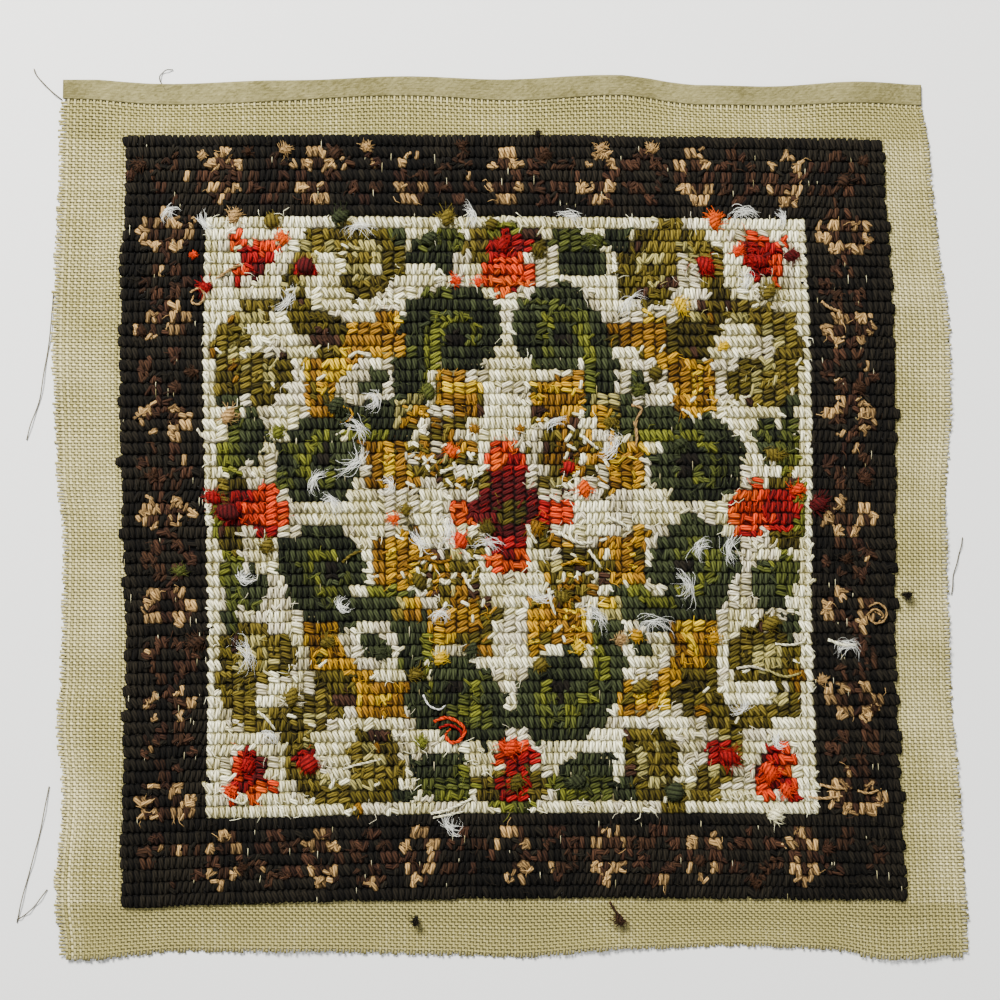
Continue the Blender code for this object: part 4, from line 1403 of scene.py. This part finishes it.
def table_place(across, down):
    """Place on the table of a photo point."""
    return np.array([WORK_MIDDLE_X + (across - PHOTO_MIDDLE[0]) * PHOTO_PIXEL,
                     WORK_MIDDLE_Y + (PHOTO_MIDDLE[1] - down) * PHOTO_PIXEL])


def smooth_line(points, count):
    """A smooth line of so many points through a few chosen ones."""
    points = np.asarray(points, float)
    padded = np.concatenate([2 * points[:1] - points[1:2], points, 2 * points[-1:] - points[-2:-1]])
    result = []
    for share in np.linspace(0, len(points) - 1 - 1e-9, count):
        at = int(share)
        f = share - at
        p0, p1, p2, p3 = padded[at:at + 4]
        result.append(0.5 * (2 * p1 + (p2 - p0) * f + (2 * p0 - 5 * p1 + 4 * p2 - p3) * f * f
                             + (3 * p1 - p0 - 3 * p2 + p3) * f ** 3))
    return np.array(result)


class LooseYarn:
    """Heaps of loose yarn, one for each yarn of the field and of the border."""

    def __init__(self):
        self.heaps = {}

    def heap(self, yarn, place):
        """The heap that a piece of this yarn at this place belongs to."""
        region = "field" if in_field(place[0] - WORK_MIDDLE_X, place[1] - WORK_MIDDLE_Y) else "border"
        return self.heaps.setdefault((region, yarn), Heap())

    def make(self, kind, wool):
        """Turn the heaps into pieces."""
        total = 0
        for (region, yarn), heap in self.heaps.items():
            total += heap.triangles()
            heap.make(f"{region}_{kind}_{yarn}", wool[yarn], region + "_wool")
        return total


TUFT_BASE = WOOL_LOW + 0.8 * MM
TUFT_FIBRES = 76
TUFT_IN_BORDER = 0.7            # the border's tufts are smaller
CORE_SHAPE = np.array([0.3, 0.78, 1.0, 0.98, 0.76, 0.3])


def lay_tuft(loose, across, down, yarn, reach, heading):
    """A cut end of yarn whose fibres have opened into a soft ball or brush round a dense core."""
    place = table_place(across, down)
    heap = loose.heap(yarn, place)
    if not in_field(place[0] - WORK_MIDDLE_X, place[1] - WORK_MIDDLE_Y):
        reach = reach * TUFT_IN_BORDER
    size = reach * MM
    ball = heading is ROUND
    ahead = rng.uniform(0, math.tau) if ball else math.radians(heading)
    forward = np.array([math.cos(ahead), math.sin(ahead)])
    along = np.linspace(-0.6, 0.6, 6) if ball else np.linspace(-0.1, 1.15, 6)
    core = np.column_stack([place + forward * (size * along)[:, None],
                            np.full(6, TUFT_BASE + 0.15 * size) + 0.1 * size * CORE_SHAPE])
    swell = size * CORE_SHAPE * (0.6 if ball else 0.42)
    sweep(heap, core, swell, swell * 0.62, 7, np.clip(rng.normal(0.3, 0.1, 6), 0.1, 0.6))
    share = np.array([0.0, 0.55, 1.0])
    for _ in range(TUFT_FIBRES):
        upright = rng.uniform(0.0, 0.98)
        flat = math.sqrt(1 - upright ** 2)
        way = rng.uniform(0, math.tau) if ball else ahead + rng.normal(0, 0.55)
        long = size * (rng.uniform(0.6, 0.92) if ball else rng.uniform(0.6, 1.25))
        turned = way + rng.normal(0, 0.5) * share
        slide = 0.0 if ball else rng.uniform(-0.1, 0.5)
        start = place + forward * size * slide + rng.normal(0, 0.12, 2) * size
        step = np.stack([np.cos(turned), np.sin(turned)], 1) * (long * flat * share)[:, None]
        lift = TUFT_BASE + 0.62 * long * upright * share + 0.9 * MM * np.sin(math.pi * share * 0.7)
        thick = rng.uniform(0.1, 0.2) * MM * np.array([1.0, 1.0, 0.5])
        across_way = (-math.sin(way), math.cos(way), 0.0)
        sweep(heap, np.column_stack([start + step, lift]), thick, thick, 3,
              0.05 + 0.25 * share + rng.uniform(0.0, 0.35), across_way)


WISP_FIBRES = 24
WISP_REACH = 1.6                # how far a fibre reaches each way, in sizes of its wisp


def lay_lint(heap, across, down, size):
    """A wisp of pale fluff: fine fibres that lie side by side along one curled line."""
    middle = table_place(across, down)
    grain = rng.uniform(0, math.pi)
    curl = rng.uniform(0.8, 2.4) * rng.choice([-1, 1])
    for _ in range(WISP_FIBRES):
        along = np.linspace(rng.uniform(-1.0, -0.1), rng.uniform(0.1, 1.0), 8)
        wave = 0.4 * np.sin(math.tau * (0.8 * along + rng.random()))
        way = grain + curl * along + wave + rng.normal(0, 0.25)
        stride = size * MM * WISP_REACH * (along[1] - along[0])
        line = np.cumsum(np.stack([np.cos(way), np.sin(way)], 1) * stride, axis=0)
        line += middle - line[np.argmin(np.abs(along))] + rng.normal(0, 0.17 * size * MM, 2)
        high = WOOL_HIGH + rng.uniform(-0.1, 0.8) * MM + 0.5 * MM * np.sin(2.5 * along + rng.uniform(0, 3))
        thick = rng.uniform(0.03, 0.07) * MM * np.clip(1.3 - np.abs(along), 0.3, 1.0)
        sweep(heap, np.column_stack([line, high]), thick, thick, 3, rng.uniform(0.3, 1.1))


def lay_tail(loose, yarn, thick, points):
    """A cut end of yarn that lies on the work, its two plies turning round each other."""
    line = smooth_line([table_place(*point) for point in points], 4 * len(points))
    share = np.linspace(0, 1, len(line))
    high = WOOL_HIGH - 0.5 * MM + 1.1 * MM * np.sin(math.pi * np.clip(share * 1.15, 0, 1))
    taper = thick * MM * np.clip(1.25 - share ** 4 * 0.7, 0.5, 1.0)
    heap = loose.heap(yarn, line[0])
    for ply in (0, 1):
        turn = math.tau * share * len(points) * 0.55 + ply * math.pi
        side = np.gradient(line, axis=0)
        side = np.stack([-side[:, 1], side[:, 0]], 1)
        side /= np.maximum(np.linalg.norm(side, axis=1, keepdims=True), 1e-9)
        shifted = line + side * (0.42 * taper * np.cos(turn))[:, None]
        path = np.column_stack([shifted, high + 0.42 * taper * np.sin(turn)])
        sweep(heap, path, taper * 0.72, taper * 0.72, 5, rng.uniform(0.3, 0.8))


FUZZ_FIBRES = 3400


def lay_fuzz(loose):
    """Short stray fibres that stand off the yarn all over the work, each of the yarn below it."""
    for _ in range(FUZZ_FIBRES):
        column, rope = rng.integers(0, COLUMNS), rng.integers(0, ROPES)
        yarn = NAMES[ROPE_LOW[column, rope]]
        u = -HALF_WIDE + (column + rng.random()) * PITCH
        v = -HALF_TALL + (rope + rng.random()) * ROPE_TALL
        start = np.array(lie_wool(u, v))
        way = rng.uniform(0, math.tau)
        long = rng.uniform(1.5, 5.0) * MM
        bend = rng.normal(0, 0.8)
        share = np.linspace(0, 1, 3)
        turned = way + bend * share
        step = np.stack([np.cos(turned), np.sin(turned)], 1) * long * share[:, None]
        lift = WOOL_HIGH - 0.35 * MM + rng.uniform(0.2, 1.1) * MM * np.sin(math.pi * share * 0.8)
        thick = rng.uniform(0.06, 0.12) * MM
        sweep(loose.heap(yarn, start), np.column_stack([start + step, lift]), thick, thick, 3,
              rng.uniform(0.5, 1.0))


CANVAS_TICKS = 170
DARK_YARNS = ("black_brown", "dark_brown", "dark_green", "rust_brown")


def lay_ticks():
    """Canvas threads that show as pale upright ticks between the dark stitches."""
    heap = Heap()
    dark = np.isin(ROPE_LOW, [INDEX[name] for name in DARK_YARNS])
    columns, ropes = np.nonzero(dark)
    for pick in rng.integers(0, len(columns), CANVAS_TICKS):
        u = -HALF_WIDE + (columns[pick] + rng.choice([0.0, 0.5])) * PITCH + rng.normal(0, 0.1) * MM
        v = -HALF_TALL + (ropes[pick] + rng.uniform(-0.2, 0.2)) * ROPE_TALL
        tall = rng.uniform(1.2, 4.4) * MM
        share = np.linspace(-0.5, 0.5, 3)
        x, y = lie_wool(np.full(3, u) + rng.normal(0, 0.1) * MM * share, v + tall * share)
        high = WOOL_HIGH - 0.42 * MM + 0.25 * MM * np.cos(math.pi * share)
        sweep(heap, np.column_stack([x, y, high]), rng.uniform(0.08, 0.15) * MM, 0.1 * MM, 3,
              rng.uniform(0, 0.9))
    return heap


def make_loose_yarn(wool):
    """Tufts, tails, fluff and stray fibres on the work, and threads ravelled from the canvas."""
    tufts, fuzz = LooseYarn(), LooseYarn()
    for tuft in TUFTS:
        lay_tuft(tufts, *tuft)
    for tail in TAILS:
        lay_tail(tufts, *tail)
    lay_fuzz(fuzz)
    total = tufts.make("yarn_ends", wool) + fuzz.make("stray_fibres", wool)
    fluff = Heap()
    for wisp in LINT:
        lay_lint(fluff, *wisp)
    fluff.make("pale_fluff", wool["lint"], "field_wool")
    ticks = lay_ticks()
    ticks.make("canvas_ticks", cotton_canvas("tick", "8d8358", "d9d1a8", 2200.0), "canvas")
    ravelled = Heap()
    for points in RAVELLED:
        line = smooth_line([table_place(*point) for point in points], 5 * len(points))
        high = 0.45 * MM + 0.7 * MM * np.sin(np.linspace(0, math.pi * 3, len(line))) ** 2
        sweep(ravelled, np.column_stack([line, high]), 0.25 * MM, 0.2 * MM, 4, rng.uniform(0, 0.5))
    ravelled.make("canvas_ravelled_threads", cotton_canvas("ravelled", "3a3526", "7c7458", 2200.0), "canvas")
    return total + fluff.triangles() + ticks.triangles() + ravelled.triangles()


# Floor, light and camera
CAMERA_DISTANCE = 0.62
CAMERA_TILT = math.radians(3.51)
CAMERA_AIM = Vector((-0.0021, 0.0040, 0.0))
CAMERA_VIEW = math.radians(37.94)


def make_stage():
    """A plain pale floor, large enough to fill the view."""
    bpy.ops.object.select_all(action="DESELECT")
    bpy.ops.mesh.primitive_plane_add(size=6.0)
    floor = bpy.context.object
    floor.name = "floor"
    floor.data.materials.append(plain_paint("pale_matt_floor", "dfdfdd"))


def add_light(name, place, size, power, colour):
    """A square area light that shines at the panel."""
    lamp = bpy.data.lights.new(name, "AREA")
    lamp.shape = "SQUARE"
    lamp.size = size
    lamp.energy = power
    lamp.color = colour
    holder = bpy.data.objects.new(name, lamp)
    holder.location = place
    holder.rotation_euler = (-Vector(place)).to_track_quat("-Z", "Y").to_euler()
    bpy.context.scene.collection.objects.link(holder)


WINDOW_POWER = 118.0
FILL_POWER = 9.5
SURROUND = 0.53


def make_light():
    """Soft daylight from the upper left, a weak fill and an even surround."""
    add_light("window", (-0.6, 1.1, 1.25), 0.55, WINDOW_POWER, (1.0, 0.985, 0.95))
    add_light("fill", (1.2, -0.8, 1.2), 1.2, FILL_POWER, (0.97, 0.98, 1.0))
    world = bpy.data.worlds.new("studio")
    world.use_nodes = True
    world.node_tree.nodes["Background"].inputs["Color"].default_value = (0.95, 0.97, 1.0, 1.0)
    world.node_tree.nodes["Background"].inputs["Strength"].default_value = SURROUND
    bpy.context.scene.world = world


def make_camera():
    """The photo's camera: almost straight above, leaning a little from the near side."""
    lens = bpy.data.cameras.new("camera")
    lens.angle = CAMERA_VIEW
    lens.clip_start = 0.01
    holder = bpy.data.objects.new("camera", lens)
    back = Vector((0, -math.sin(CAMERA_TILT), math.cos(CAMERA_TILT)))
    holder.location = CAMERA_AIM + back * CAMERA_DISTANCE
    holder.rotation_euler = (CAMERA_TILT, 0, 0)
    bpy.context.scene.collection.objects.link(holder)
    bpy.context.scene.camera = holder


def main():
    """Build every piece round the frame."""
    make_camera()
    make_light()
    make_stage()
    wool = make_wool()
    total = make_canvas()
    total += make_wrong_side(wool)
    total += make_beds()
    total += make_right_side(wool)
    total += make_loose_yarn(wool)
    print("triangles in the scene's pieces:", total)


main()
